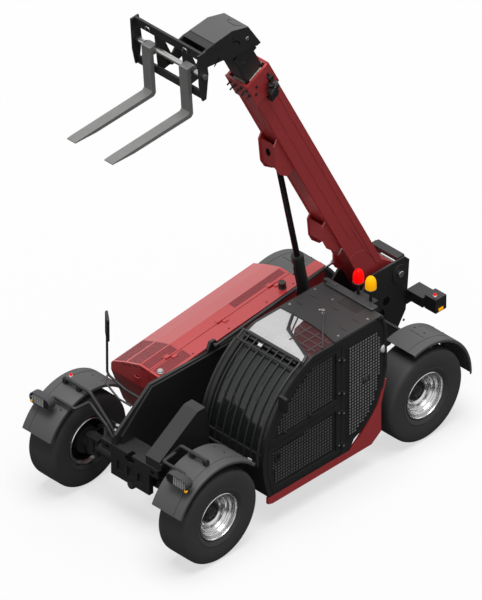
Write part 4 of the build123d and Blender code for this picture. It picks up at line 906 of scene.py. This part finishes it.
def windowOutline(side):
    # the window's edge inside a door, from the arc and the meeting line
    low, high, gap = cabSizes["windowLow"], cabSizes["windowHigh"], side * cabSizes["windowGap"]
    rim = []
    for i in range(25):
        a = radians(-24 + 92 * i / 24)
        x, z = arcX + cabSizes["windowRadius"] * cos(a), arcZ + cabSizes["windowRadius"] * sin(a)
        if side * (z - splitLine(x)) > 0.072 and low < z < high:
            rim.append((x, z))
    if side > 0:
        first = (rim[0][0] + 0.004, splitLine(rim[0][0]) + gap)
        return [(hinge, splitLine(hinge) + gap), first] + rim + [(rim[-1][0] - 0.03, high), (hinge, high)]
    last = (rim[-1][0], splitLine(rim[-1][0]) + gap)
    return [(hinge, low), (rim[0][0], low)] + rim + [last, (hinge, splitLine(hinge) + gap)]


def perforatedWindow(name, outline, holds, body, y, pane="paneReflectionGrey"):
    # dark backing as painted shade of the cab behind, a pane painted light behind each hole, and the punched plate in
    # front of them
    backing = prism(outline, lambda x, z, depth: rowPoint(x, depth, z), (y - 0.004, y - 0.002))
    makePiece(name + "Backing", backing, "blackPlastic", body)
    pitch, strand = cabSizes["holePitch"], cabSizes["strand"]
    grid = [(-2.42 + i * pitch, 0.46 + k * (pitch - 0.001)) for i in range(64) for k in range(40)]
    panes, cells = ([(rowPoint(x, y + lift, z), leftWay, frontWay) for x, z in grid if holds(x, z)]
                    for lift in (-0.0012, 0.002))
    copiesOf(name + "Panes", blockTree, panes, {"Size": (0.026, 0.026, 0.0012)}, pane, body)
    cell = {"Length": pitch - strand, "Width": pitch - strand - 0.001, "Strand": strand, "Thickness": 0.003}
    copiesOf(name + "Plate", cellTree, cells, cell, "blackPowderCoat", body)


for door, side in (("upper", 1), ("lower", -1)):
    perforatedWindow(door + "DoorGrid", windowOutline(side), lambda x, z: doorHas(x, z, side), "door_" + door,
                     cabSizes["windowY"])
reach = cabSizes["quarterRadius"]
quarterLine = [(arcX + reach * cos(radians(a)), cabSizes["quarterZ"] + reach * sin(radians(a)))
               for a in range(180, 259, 6)]
quarterLine += [(-1.867, 0.525), (-1.867, 1.712), (-2.33, 1.712), (-2.366, 1.66)]
perforatedWindow("quarterGrid", quarterLine, quarterHas, "chassis", 1.1045, "palePane")
profile = [(0.046, 0.0), (0.046, 0.007), (0.040, 0.011), (0.030, 0.007), (0.019, 0.007), (0.015, 0.015),
           (0.0, 0.016)]
makePiece("quarterWindowKnob", roundBody(rowPoint(-2.155, 1.1075, 1.182), leftWay, profile, 36),
          "greyPowderCoat", "chassis", 30)

# roof sheet with its curved front edge, ribs and bolts
roofTop, rear = cabSizes["roof"], cabSizes["rear"]
frontEdge = [(-1.765, 0.24), (-1.772, 0.40), (-1.778, 0.68), (-1.755, 0.90), (-1.715, 1.09)]
sheet = loft([[rowPoint(a, y, roofTop + lift) for a, lift in (
    (rear, 0.0005), (rear, 0.008), (x - 0.004, 0.008), (x, 0.004), (x, 0.0005))] for x, y in frontEdge])
makePiece("roofSheet", sheet, "roofPowderCoat", "chassis")
tubes("roofSeal", [[rowPoint(x + 0.004, y, roofTop + 0.008) for x, y in frontEdge]], "chassis", 0.009,
      "blackPlastic", 0.05, 8)
spots = [(rowPoint(x, y, roofTop + 0.009), upWay) for x, y in ((-2.241, 0.276), (-2.24, 0.533), (-1.866, 0.283),
                                                              (-2.246, 1.036), (-1.82, 1.03))]
bolts("roofBolts", spots, "chassis", 0.010, 0.008, "zincSteel")
spots = [(rowPoint(x, y, roofTop + 0.010), upWay, leftWay) for x, y in (
    (-2.14, 0.353), (-1.951, 0.341), (-2.145, 0.66), (-2.142, 0.975), (-1.947, 0.977))]
copiesOf("roofRibs", blockTree, spots, {"Size": (0.085, 0.012, 0.006)}, "greyPowderCoat", "chassis")
rearBar = [bar(rowPoint(-2.46, 0.30, roofTop - 0.01), rowPoint(-2.365, 0.98, roofTop + 0.045), 0.012),
           bar(rowPoint(-2.44, 0.25, roofTop - 0.02), rowPoint(-2.39, 0.42, roofTop + 0.06), 0.008)]
makePiece("roofRearBar", joined(rearBar), "greyPowderCoat", "chassis")


# blind and tool locker seen behind the top glass
def topSkin(lift, y, x):
    # a point on the cab's top skin at row place x, raised by lift
    height = arcZ + ((cabSizes["radius"] + lift) ** 2 - (x - arcX) ** 2) ** 0.5
    return rowPoint(x, y, min(height, roofTop + lift))


def topSheet(edges, low, high):
    # edges: (x, low y, high y) from the front to the rear, cut into short steps that follow the skin
    fine = [edges[0]]
    for before, after in zip(edges, edges[1:]):
        fine += [[a + (b - a) * i / cabSizes["skinSteps"] for a, b in zip(before, after)]
                 for i in range(1, cabSizes["skinSteps"] + 1)]
    return loft([placed(topSkin, (low, y0, x), (low, y1, x), (high, y1, x), (high, y0, x))
                 for x, y0, y1 in fine])


strut = [(-1.26, 1.065), (-1.35, 1.04), (-1.42, 0.86), (-1.48, 0.72), (-1.54, 0.58), (-1.65, 0.505),
         (-1.768, 0.43)]
makePiece("roofBlind", topSheet([(x, 0.262, y) for x, y in strut], 0.0006, 0.0022), "blindFabricWhite",
          "chassis", 60)
makePiece("roofLocker", topSheet([(x, y, 1.068) for x, y in strut[1:]], 0.0006, 0.0016), "lockerRedShade", "chassis",
          60)
spots = []
for y in (0.33 + i * 0.135 for i in range(6)):
    for x in (-1.28 - k * 0.055 for k in range(9)):
        if y < next((b for a, b in strut if a <= x), 0.43):
            fall = 0.3 if x > -1.4 else 0
            spots.append((topSkin(0.0030, y, x), (fall, 0, 1), (1, 0, -fall)))
copiesOf("blindSeams", blockTree, spots, {"Size": (0.058, 0.006, 0.0015)}, "whiteLens", "chassis")
tubes("roofStrut", [[topSkin(0.012, y, x) for x, y in strut]], "chassis", 0.017, "blackPlastic", 0.03, 8)
tubes("roofStrutInner", [placed(topSkin, (0.010, 0.505, -1.765), (0.010, 0.60, -1.60), (0.010, 0.66, -1.50))],
      "chassis", 0.008, "blackPlastic", 0.03, 8)
makePiece("blindReturn", topSheet([(-1.50, 0.67, 0.70), (-1.60, 0.56, 0.62), (-1.765, 0.45, 0.58)], 0.0025,
                                  0.0035),
          "blindFabricWhite", "chassis", 60)
bars = [placed(topSkin, (0.004, y, x0), (0.004, y, (x0 + x1) / 2), (0.004, y, x1))
        for x0, x1, y in ((-1.42, -1.74, 0.72), (-1.42, -1.72, 0.86), (-1.40, -1.70, 0.99))]
bars += [placed(topSkin, (0.004, y0, x), (0.004, y1, x))
         for x, y0, y1 in ((-1.46, 0.80, 1.06), (-1.56, 0.66, 1.06), (-1.66, 0.62, 1.06))]
tubes("lockerBars", bars, "chassis", 0.009, "lockerBarGrey", 0.02, 6)
wiper = placed(rowPoint, (-1.99, 0.65, roofTop + 0.03), (-1.75, 0.88, roofTop + 0.045),
               (-1.54, 1.085, roofTop + 0.02))
tubes("wiperArm", [wiper], "chassis", 0.008, "greyPowderCoat", 0.03, 8)
hubs = [roundBody(rowPoint(x, y, roofTop + 0.008), upWay,
                  [(radius, 0), (radius, 0.018), (radius - 0.004, 0.024), (0.0, 0.024)], 20)
        for x, y, radius in ((-2.025, 0.61, 0.02), (-1.985, 0.65, 0.016), (-2.0, 0.585, 0.012))]
makePiece("wiperHubs", joined(hubs), "zincSteel", "chassis")


# guard: lamp bar under its top tube, small lamps on it, edge tubes
def arcBlock(angle, spanA, radii, y):
    (a0, a1), (r0, r1) = spanA, radii
    return loft([placed(arcPoint, (r0, angle + a0, b), (r0, angle + a1, b), (r1, angle + a1, b),
                        (r1, angle + a0, b))
                 for b in y])


makePiece("guardLampBar", arcBlock(61.0, (0, 3.6), (1.10, 1.135), (0.30, 1.02)), "blackPlastic", "chassis")
smallLamps = [arcBlock(angle, (-0.8, 0.8), (1.162, 1.172), (y - 0.026, y + 0.026))
              for y, angle in ((0.55, 60.0), (0.98, 3.5), (0.34, 3.5))]
makePiece("guardLamps", joined(smallLamps), "whiteLens", "chassis")
rails = [[arcPoint(1.165, a, y) for a in range(3, 63, 6)] for y in (0.245, 1.08)]
rails.append([arcPoint(1.155, 57.5, y) for y in (0.255, 0.6, 1.07)])
tubes("guardEdgeTubes", rails, "chassis", 0.013, "blackPowderCoat", 0.05, 8)
# painted highlights: grey streaks on the windscreen for the glints on its glass
streaks = [[arcPoint(1.0675, first + (last - first) * i / 6, y + 0.03 * sin(i)) for i in range(7)]
           for y, first, last in ((0.34, 36, 58), (0.52, 20, 40), (0.80, 30, 48))]
tubes("screenGlints", streaks, "chassis", 0.0035, "greyPowderCoat", 0.05, 6)

# doors and pillar fittings
rings = []
for wide, tall, rise in ((0.038, 0.052, 0.010), (0.020, 0.034, 0.006)):
    profile = ((-0.008, 0.0), (-0.007, rise * 0.8), (-0.003, rise), (0.003, rise), (0.007, rise * 0.8),
               (0.008, 0.0))
    rings.append(loft([[rowPoint(-0.868 + (wide + w) * c, 1.1005 + lift, 0.845 + (tall + w) * s)
                        for w, lift in profile]
                       for c, s in circle(36)], ring=True))
makePiece("lowerDoorHandle", joined(rings), "blackPlastic", "door_lower", 30)
profile = [(1, 0.0), (1, 0.006), (0.6, 0.010), (0.7, 0.018), (0.5, 0.022), (0, 0.022)]
knobs = [roundBody(rowPoint(x, 1.1005, z), leftWay, [(radius * share, w) for share, w in profile], 24)
         for x, z, radius in ((-1.335, 1.145, 0.026), (-0.967, 1.115, 0.018))]
makePiece("upperDoorKnobs", joined(knobs), "blackPlastic", "door_upper", 30)
for label, body, offset, heights in (("hingeBolts", "chassis", -0.035, (0.50, 0.91, 1.16, 1.58)),
                                     ("lowerHingeBolts", "door_lower", 0.035, (0.535, 0.945)),
                                     ("upperHingeBolts", "door_upper", 0.035, (1.195, 1.615))):
    spots = [(rowPoint(cabSizes["pillar"] + offset, cabSizes["outer"] + 0.008, z), leftWay) for z in heights]
    bolts(label, spots, body, 0.008, 0.006, "zincSteel")
cornerLamp = roundBody(rowPoint(rear, 1.06, 1.435), Vector((-0.4, 0.9, 0)).normalized(), [
    (0.0, 0.0), (0.045, 0.0), (0.05, 0.02), (0.046, 0.05), (0.03, 0.056), (0.0, 0.056)], 28)
makePiece("rearCornerLamp", cornerLamp, "whiteLens", "chassis", 30)
corner = placed(rowPoint, (-2.40, 1.085, 1.84), (-2.435, 1.10, 1.70), (-2.445, 1.10, 1.2), (-2.40, 1.09, 0.95))
tubes("rearPillarTube", [corner], "chassis", 0.02, "blackPowderCoat", 0.1, 10)
makePiece("dashCowl", bar(rowPoint(-1.14, 0.43, 0.80), rowPoint(-0.97, 0.88, 1.0), 0.03), "blackPlastic",
          "chassis")
print("cab ready")

# seat: two vinyl pads, puffed by a short cloth run and then stitched
seatSizes = {"voxel": 0.006, "pressure": 4.0, "cap": 0.014, "shrink": 0.012, "seamDepth": 0.006,
             "seamWidth": 0.008, "frames": 20, "edge": 0.04, "fill": 0.8}


def evaluatedMesh(piece):
    mesh = bpy.data.meshes.new_from_object(piece.evaluated_get(bpy.context.evaluated_depsgraph_get()))
    piece.modifiers.clear()
    piece.data = mesh
    return mesh


def puffed(piece, seams):
    remesh = piece.modifiers.new("remesh", "REMESH")
    remesh.mode = "VOXEL"
    remesh.voxel_size = seatSizes["voxel"]
    mesh = evaluatedMesh(piece)
    start = [v.co.copy() for v in mesh.vertices]
    cloth = piece.modifiers.new("cloth", "CLOTH")
    cloth.settings.use_pressure = True
    cloth.settings.uniform_pressure_force = seatSizes["pressure"]
    cloth.settings.effector_weights.gravity = 0.0
    cloth.point_cache.frame_end = seatSizes["frames"]
    for number in range(1, seatSizes["frames"] + 1):
        scene.frame_set(number)
    mesh = evaluatedMesh(piece)
    for v, begin in zip(mesh.vertices, start):
        move = v.co - begin
        if move.length > seatSizes["cap"]:
            v.co = begin + move.normalized() * seatSizes["cap"]
    scene.frame_set(1)
    normals = [v.normal.copy() for v in mesh.vertices]
    for v, normal in zip(mesh.vertices, normals):
        for place, way in seams:
            gap = (v.co - place).dot(way) / seatSizes["seamWidth"]
            if abs(gap) < 3:
                v.co -= normal * seatSizes["seamDepth"] * 2.718 ** (-gap * gap)
    mesh.materials.clear()
    mesh.materials.append(finish["seatVinyl"])
    mesh.shade_smooth()
    smooth = piece.modifiers.new("subdivision", "SUBSURF")
    smooth.levels = smooth.render_levels = 1


def padSkin(outline, halfWidth):
    # pad from a side outline of (x, z), drawn in at its two ends
    edge, low, high = seatSizes["edge"], seatY - halfWidth + inset, seatY + halfWidth - inset
    middle = Vector((sum(x for x, z in outline) / len(outline), sum(z for x, z in outline) / len(outline)))
    return loft([[rowPoint(x + (middle.x - x) * pull * 3, y, z + (middle.y - z) * pull * 6) for x, z in outline]
                 for y, pull in ((low, edge), (low + edge, 0.0), (high - edge, 0.0), (high, edge))])


seatY = (cabSizes["inner"] + cabSizes["outer"]) / 2
inset = seatSizes["shrink"]
cushionLine = [(-2.13 + inset, 0.80 + inset), (-2.13 + inset, 0.89), (-2.08, 0.905 - inset),
               (-1.80, 0.90 - inset), (-1.69, 0.90 - inset), (-1.65, 0.88), (-1.64 - inset, 0.85),
               (-1.66, 0.80 + inset)]
backLine = [(-2.135 - inset, 0.93), (-2.15 - inset, 1.0), (-2.205 - inset, 1.44), (-2.225, 1.475 - inset),
            (-2.28, 1.475 - inset), (-2.29 + inset, 1.44), (-2.225 + inset, 0.93)]
cushionSeams = [(rowPoint(-1.9, seatY - 0.13, 0.9), leftWay), (rowPoint(-1.9, seatY + 0.13, 0.9), leftWay),
                (rowPoint(-1.78, seatY, 0.9), frontWay), (rowPoint(-1.92, seatY, 0.9), frontWay)]
backSeams = [(rowPoint(-2.2, seatY - 0.12, 1.2), leftWay), (rowPoint(-2.2, seatY + 0.12, 1.2), leftWay),
             (rowPoint(-2.2, seatY, 1.12), upWay), (rowPoint(-2.2, seatY, 1.3), upWay)]
for label, outline, halfWidth, seams in (("seatCushion", cushionLine, 0.24, cushionSeams),
                                         ("seatBackrest", backLine, 0.22, backSeams)):
    pad = makePiece(label, padSkin(outline, halfWidth), "seatVinyl", "chassis")
    puffed(pad, seams)
    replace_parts(pad, "seat_pads")
print("seat ready")

# headlamps: rounded shells with a grid of diodes and an indicator each
headlampSizes = {"radius": 0.07, "halfStraight": 0.08, "inset": 0.15, "ledPitch": 0.025, "ledRow": 0.85,
                 "ledArea": 0.055, "led": 0.014}
low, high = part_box("headlamps")
lampFront, lampY, lampZ = high.x, high.y - headlampSizes["inset"], (low.z + high.z) / 2
shells, faces, leds, indicators = [], [], [], []
for side in bothSides:
    def stadium(back, grow):
        r, straight = headlampSizes["radius"] + grow, headlampSizes["halfStraight"]
        return [Vector((lampFront - back, side * lampY + sign(c) * straight + r * c, lampZ + r * s))
                for c, s in circle(24)]

    shells.append(loft(placed(stadium, (0.11, -0.016), (0.085, 0.0), (0.004, 0.0), (0, -0.005), (0.002, -0.011),
                              (0.016, -0.013))))
    faces.append(loft(placed(stadium, (0.0165, -0.014), (0.012, -0.014))))
    for i in range(8):
        for k in range(-2, 3):
            offset, height = side * 0.045 + (i - 3.5) * headlampSizes["ledPitch"], k * headlampSizes["ledPitch"]
            reach = max(abs(offset) - headlampSizes["halfStraight"], 0)
            if reach ** 2 + height ** 2 < headlampSizes["ledArea"] ** 2:
                place = Vector((lampFront - 0.011, side * lampY + offset,
                                lampZ + height * headlampSizes["ledRow"]))
                leds.append((place, frontWay, leftWay))
    indicators.append(roundBody(Vector((lampFront - 0.03, side * (lampY + 0.125), lampZ - 0.052)), frontWay, [
        (0.0, 0.0), (0.016, 0.002), (0.018, 0.02), (0.012, 0.028), (0.0, 0.03)], 20))
lampShells = makePiece("headlampShells", joined(shells), "greyPowderCoat", "chassis", 35)
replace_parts(lampShells, "headlamps")
makePiece("headlampFaces", joined(faces), "blackPlastic", "chassis")
makePiece("headlampIndicators", joined(indicators), "amberLens", "chassis", 30)
copiesOf("headlampLeds", blockTree, leds, {"Size": (headlampSizes["led"], headlampSizes["led"], 0.004)},
         "whiteLens", "chassis")

# small marker lamps on the fenders and the tail
markerPlaces = ((0.06, -0.98, 1.272), (-3.73, 0.56, 1.157), (-3.73, -0.56, 1.157))
for label, lift, profile, material, slotName in (
        ("markerBases", 0, [(0.02, 0.0), (0.02, 0.02), (0.014, 0.024), (0.0, 0.024)], "whiteLens", "lamp"),
        ("markerCaps", 0.024, [(0.016, 0.0), (0.016, 0.012), (0.009, 0.02), (0.0, 0.021)], "redLens",
         "red_lens")):
    makePiece(label, joined(roundBody(rowPoint(x, y, z + lift), upWay, profile, 20)
                            for x, y, z in markerPlaces), material,
              "chassis", 30)

# beacons: a domed lens on a black base each
beaconSizes = {"radius": 0.062, "inset": 0.0625, "shoulder": 0.09}
low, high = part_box("beacons")
radius, shoulder, tall = beaconSizes["radius"], beaconSizes["shoulder"], high.z - low.z
dome = [(radius - 0.006, 0.028), (radius - 0.002, 0.034), (radius - 0.003, shoulder)]
dome += [((radius - 0.003) * c, shoulder + (tall - shoulder - 0.0005) * s) for c, s in quarterArc(8)]
dome.append((0.0, tall - 0.0005))
foot = [(0.0, 0.0), (0.045, 0.0), (radius, 0.008), (radius, 0.026), (radius - 0.006, 0.03), (0.0, 0.03)]
for label, y, lens in (("beaconRed", low.y + beaconSizes["inset"], "redLens"),
                       ("beaconAmber", high.y - beaconSizes["inset"], "amberLens")):
    place = Vector(((low.x + high.x) / 2, y, low.z))
    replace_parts(makePiece(label, roundBody(place, upWay, dome, 40), lens, "chassis", 50), "beacons")
    makePiece(label + "Base", roundBody(place, upWay, foot, 40), "blackPlastic", "chassis", 30)

# tail lamps: three lenses on each, and one at each side
tailSizes = {"width": 0.116, "thickness": 0.012, "margin": 0.004, "gap": 0.002}
low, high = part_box("tail_lamps")
step, margin, gap = tailSizes["width"] / 3, tailSizes["margin"], tailSizes["gap"]
for label, lens, k in (("tailRedLens", "redLens", 1), ("tailWhiteLens", "whiteLens", 0),
                       ("tailAmberLens", "amberLens", 2)):
    inner = high.y - tailSizes["width"] + step * k
    lenses = [bar((low.x, side * (inner + gap), low.z + margin),
                  (low.x + tailSizes["thickness"], side * (inner + step - gap), high.z - margin))
              for side in bothSides]
    makePiece(label, joined(lenses), lens, "chassis")
lenses = [bar(rowPoint(-3.80, side * 0.6105, 1.0), rowPoint(-3.73, side * 0.618, 1.035)) for side in bothSides]
makePiece("tailSideLenses", joined(lenses), "amberLens", "chassis")

# mirrors: rounded shells with glasses, on bent stays
mirrorSizes = {"depth": 0.03, "corner": 0.03, "stayRadius": 0.0135,
               "heads": ((rowPoint(-0.235, -0.72, 1.9), Vector((-0.78, 0.62, 0)), 0.19, 0.29),
                         (rowPoint(-0.89, 1.168, 1.54), Vector((-1, 0, 0)), 0.122, 0.2))}
shells, glasses = [], []
for centre, facing, wide, tall in mirrorSizes["heads"]:
    facing = facing.normalized()
    across, corner, depth = Vector((-facing.y, facing.x, 0)), mirrorSizes["corner"], mirrorSizes["depth"]

    def rim(grow, back):
        return [centre + across * (sign(c) * (wide / 2 - corner) + (corner + grow) * c) - facing * back
                + upWay * (sign(s) * (tall / 2 - corner) + (corner + grow) * s) for c, s in circle(32)]

    shells.append(loft(placed(rim, (-0.012, depth), (0.0, depth * 0.6), (0.0, 0.002), (-0.003, 0.0),
                              (-0.006, 0.002))))
    glasses.append(loft(placed(rim, (-0.007, 0.0018), (-0.007, 0.0008))))
shell = makePiece("mirrorShells", joined(shells), "blackPlastic", "chassis", 35)
makePiece("mirrorGlasses", joined(glasses), "mirrorSilver", "chassis")
stays = [placed(rowPoint, (-0.21, -0.2505, 1.24), (-0.21, -0.45, 1.24), (-0.21, -0.72, 1.31),
                (-0.21, -0.72, 1.95)),
         placed(rowPoint, (-0.918, 1.1005, 1.5), (-0.918, 1.14, 1.5), (-0.89, 1.165, 1.5), (-0.89, 1.165, 1.6))]
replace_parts(tubes("mirrorStays", stays, "chassis", mirrorSizes["stayRadius"], "blackPowderCoat", 0.06),
            "mirrors")
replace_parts(shell, "mirrors")
stay = placed(rowPoint, (-0.089, -0.25, 1.20), (-0.089, -0.43, 1.20), (-0.12, -0.66, 1.28),
              (-0.205, -0.70, 1.33))
tubes("mirrorStay", [stay], "chassis", 0.011, "greyPowderCoat", 0.05, 10)
print("lamps and mirrors ready")

# chassis front, turret and hitch details
chassisSizes = {"frontX": 0.18, "turretY": 0.215, "markDepth": (-0.001, 0.0012),
                "turretBolts": ((-3.42, 1.50), (-3.66, 1.50), (-3.40, 1.28), (-3.66, 1.22), (-3.2, 1.05),
                                (-3.62, 0.75))}
noseX, turretY = chassisSizes["frontX"], chassisSizes["turretY"]


def ovalMark(centre, first, second):
    # thin near-black oval of painted shade that reads as an opening
    normal = first.cross(second).normalized()
    ring = [centre + first * c + second * s for c, s in circle(24)]
    return loft([[point + normal * lift for point in ring] for lift in chassisSizes["markDepth"]])


marks = [ovalMark(rowPoint(noseX, y, 0.793), leftWay * wide, upWay * tall)
         for y, wide, tall in ((0, 0.075, 0.028), (-0.33, 0.03, 0.018), (0.33, 0.03, 0.018))]
marks += [ovalMark(rowPoint(x, turretY, z), frontWay * -wide, upWay * tall) for x, z, wide, tall in (
    (-3.36, 1.12, 0.05, 0.05), (-3.30, 0.98, 0.035, 0.06), (-2.95, 0.85, 0.06, 0.035))]
makePiece("frameOpenings", joined(marks), "holeShadow", "chassis")
bossProfile = [(0.1, 0.0), (0.1, 0.006), (0.092, 0.012), (0.056, 0.012), (0.052, 0.008)]
discProfile = [(0.0, 0.006), (0.034, 0.006), (0.04, 0.002), (0.04, -0.002)]
for label, reach, profile, count, material, slotName in (
        ("pivotBosses", turretY, bossProfile, 40, "blackPowderCoat", "black_paint"),
        ("pivotPinDiscs", turretY + 0.0305, discProfile, 36, "zincSteel", "bright_steel")):
    caps = [roundBody(boomPivot + leftWay * side * reach, leftWay * side, profile, count) for side in bothSides]
    makePiece(label, joined(caps), material, "chassis", 30)
spots = [(rowPoint(x, side * turretY, z), leftWay * side) for side in bothSides
         for x, z in chassisSizes["turretBolts"]]
spots += [(rowPoint(0.175, y, 0.68), frontWay) for y in (-0.24, -0.12, 0.12, 0.24)]
spots += [(rowPoint(noseX, y, 0.83), frontWay) for y in (-0.385, 0.385)]
bolts("frameBolts", spots, "chassis", 0.010, 0.009)
boss = roundBody(rowPoint(0.16, 0, 0.455), frontWay, [(0.0, 0.02), (0.03, 0.018), (0.045, 0.012), (0.05, 0.0),
                                                     (0.05, -0.03)])
makePiece("axlePivotBoss", boss, "castIron", "chassis", 30)
pipes = [placed(rowPoint, (0.05, -0.30, 1.0), (0.02, -0.42, 0.98), (-0.02, -0.55, 0.86), (-0.02, -0.66, 0.78)),
         placed(rowPoint, (0.08, -0.29, 0.96), (0.06, -0.44, 0.93), (0.02, -0.58, 0.82), (0.02, -0.66, 0.74)),
         placed(rowPoint, (0.05, 0.44, 0.88), (0.0, 0.52, 0.84), (-0.02, 0.62, 0.76), (-0.02, 0.66, 0.72))]
tubes("steeringPipes", pipes, "chassis", 0.009, "blackPlastic", 0.06, 10)
fittings = [(pipe[0], (0.3, -1, 0), frontWay) for pipe in pipes[:2]]
copiesOf("pipeFittings", discTree, fittings, {"Sides": 6, "Radius": 0.016, "Height": 0.04}, "zincSteel",
         "chassis")
print("chassis ready")
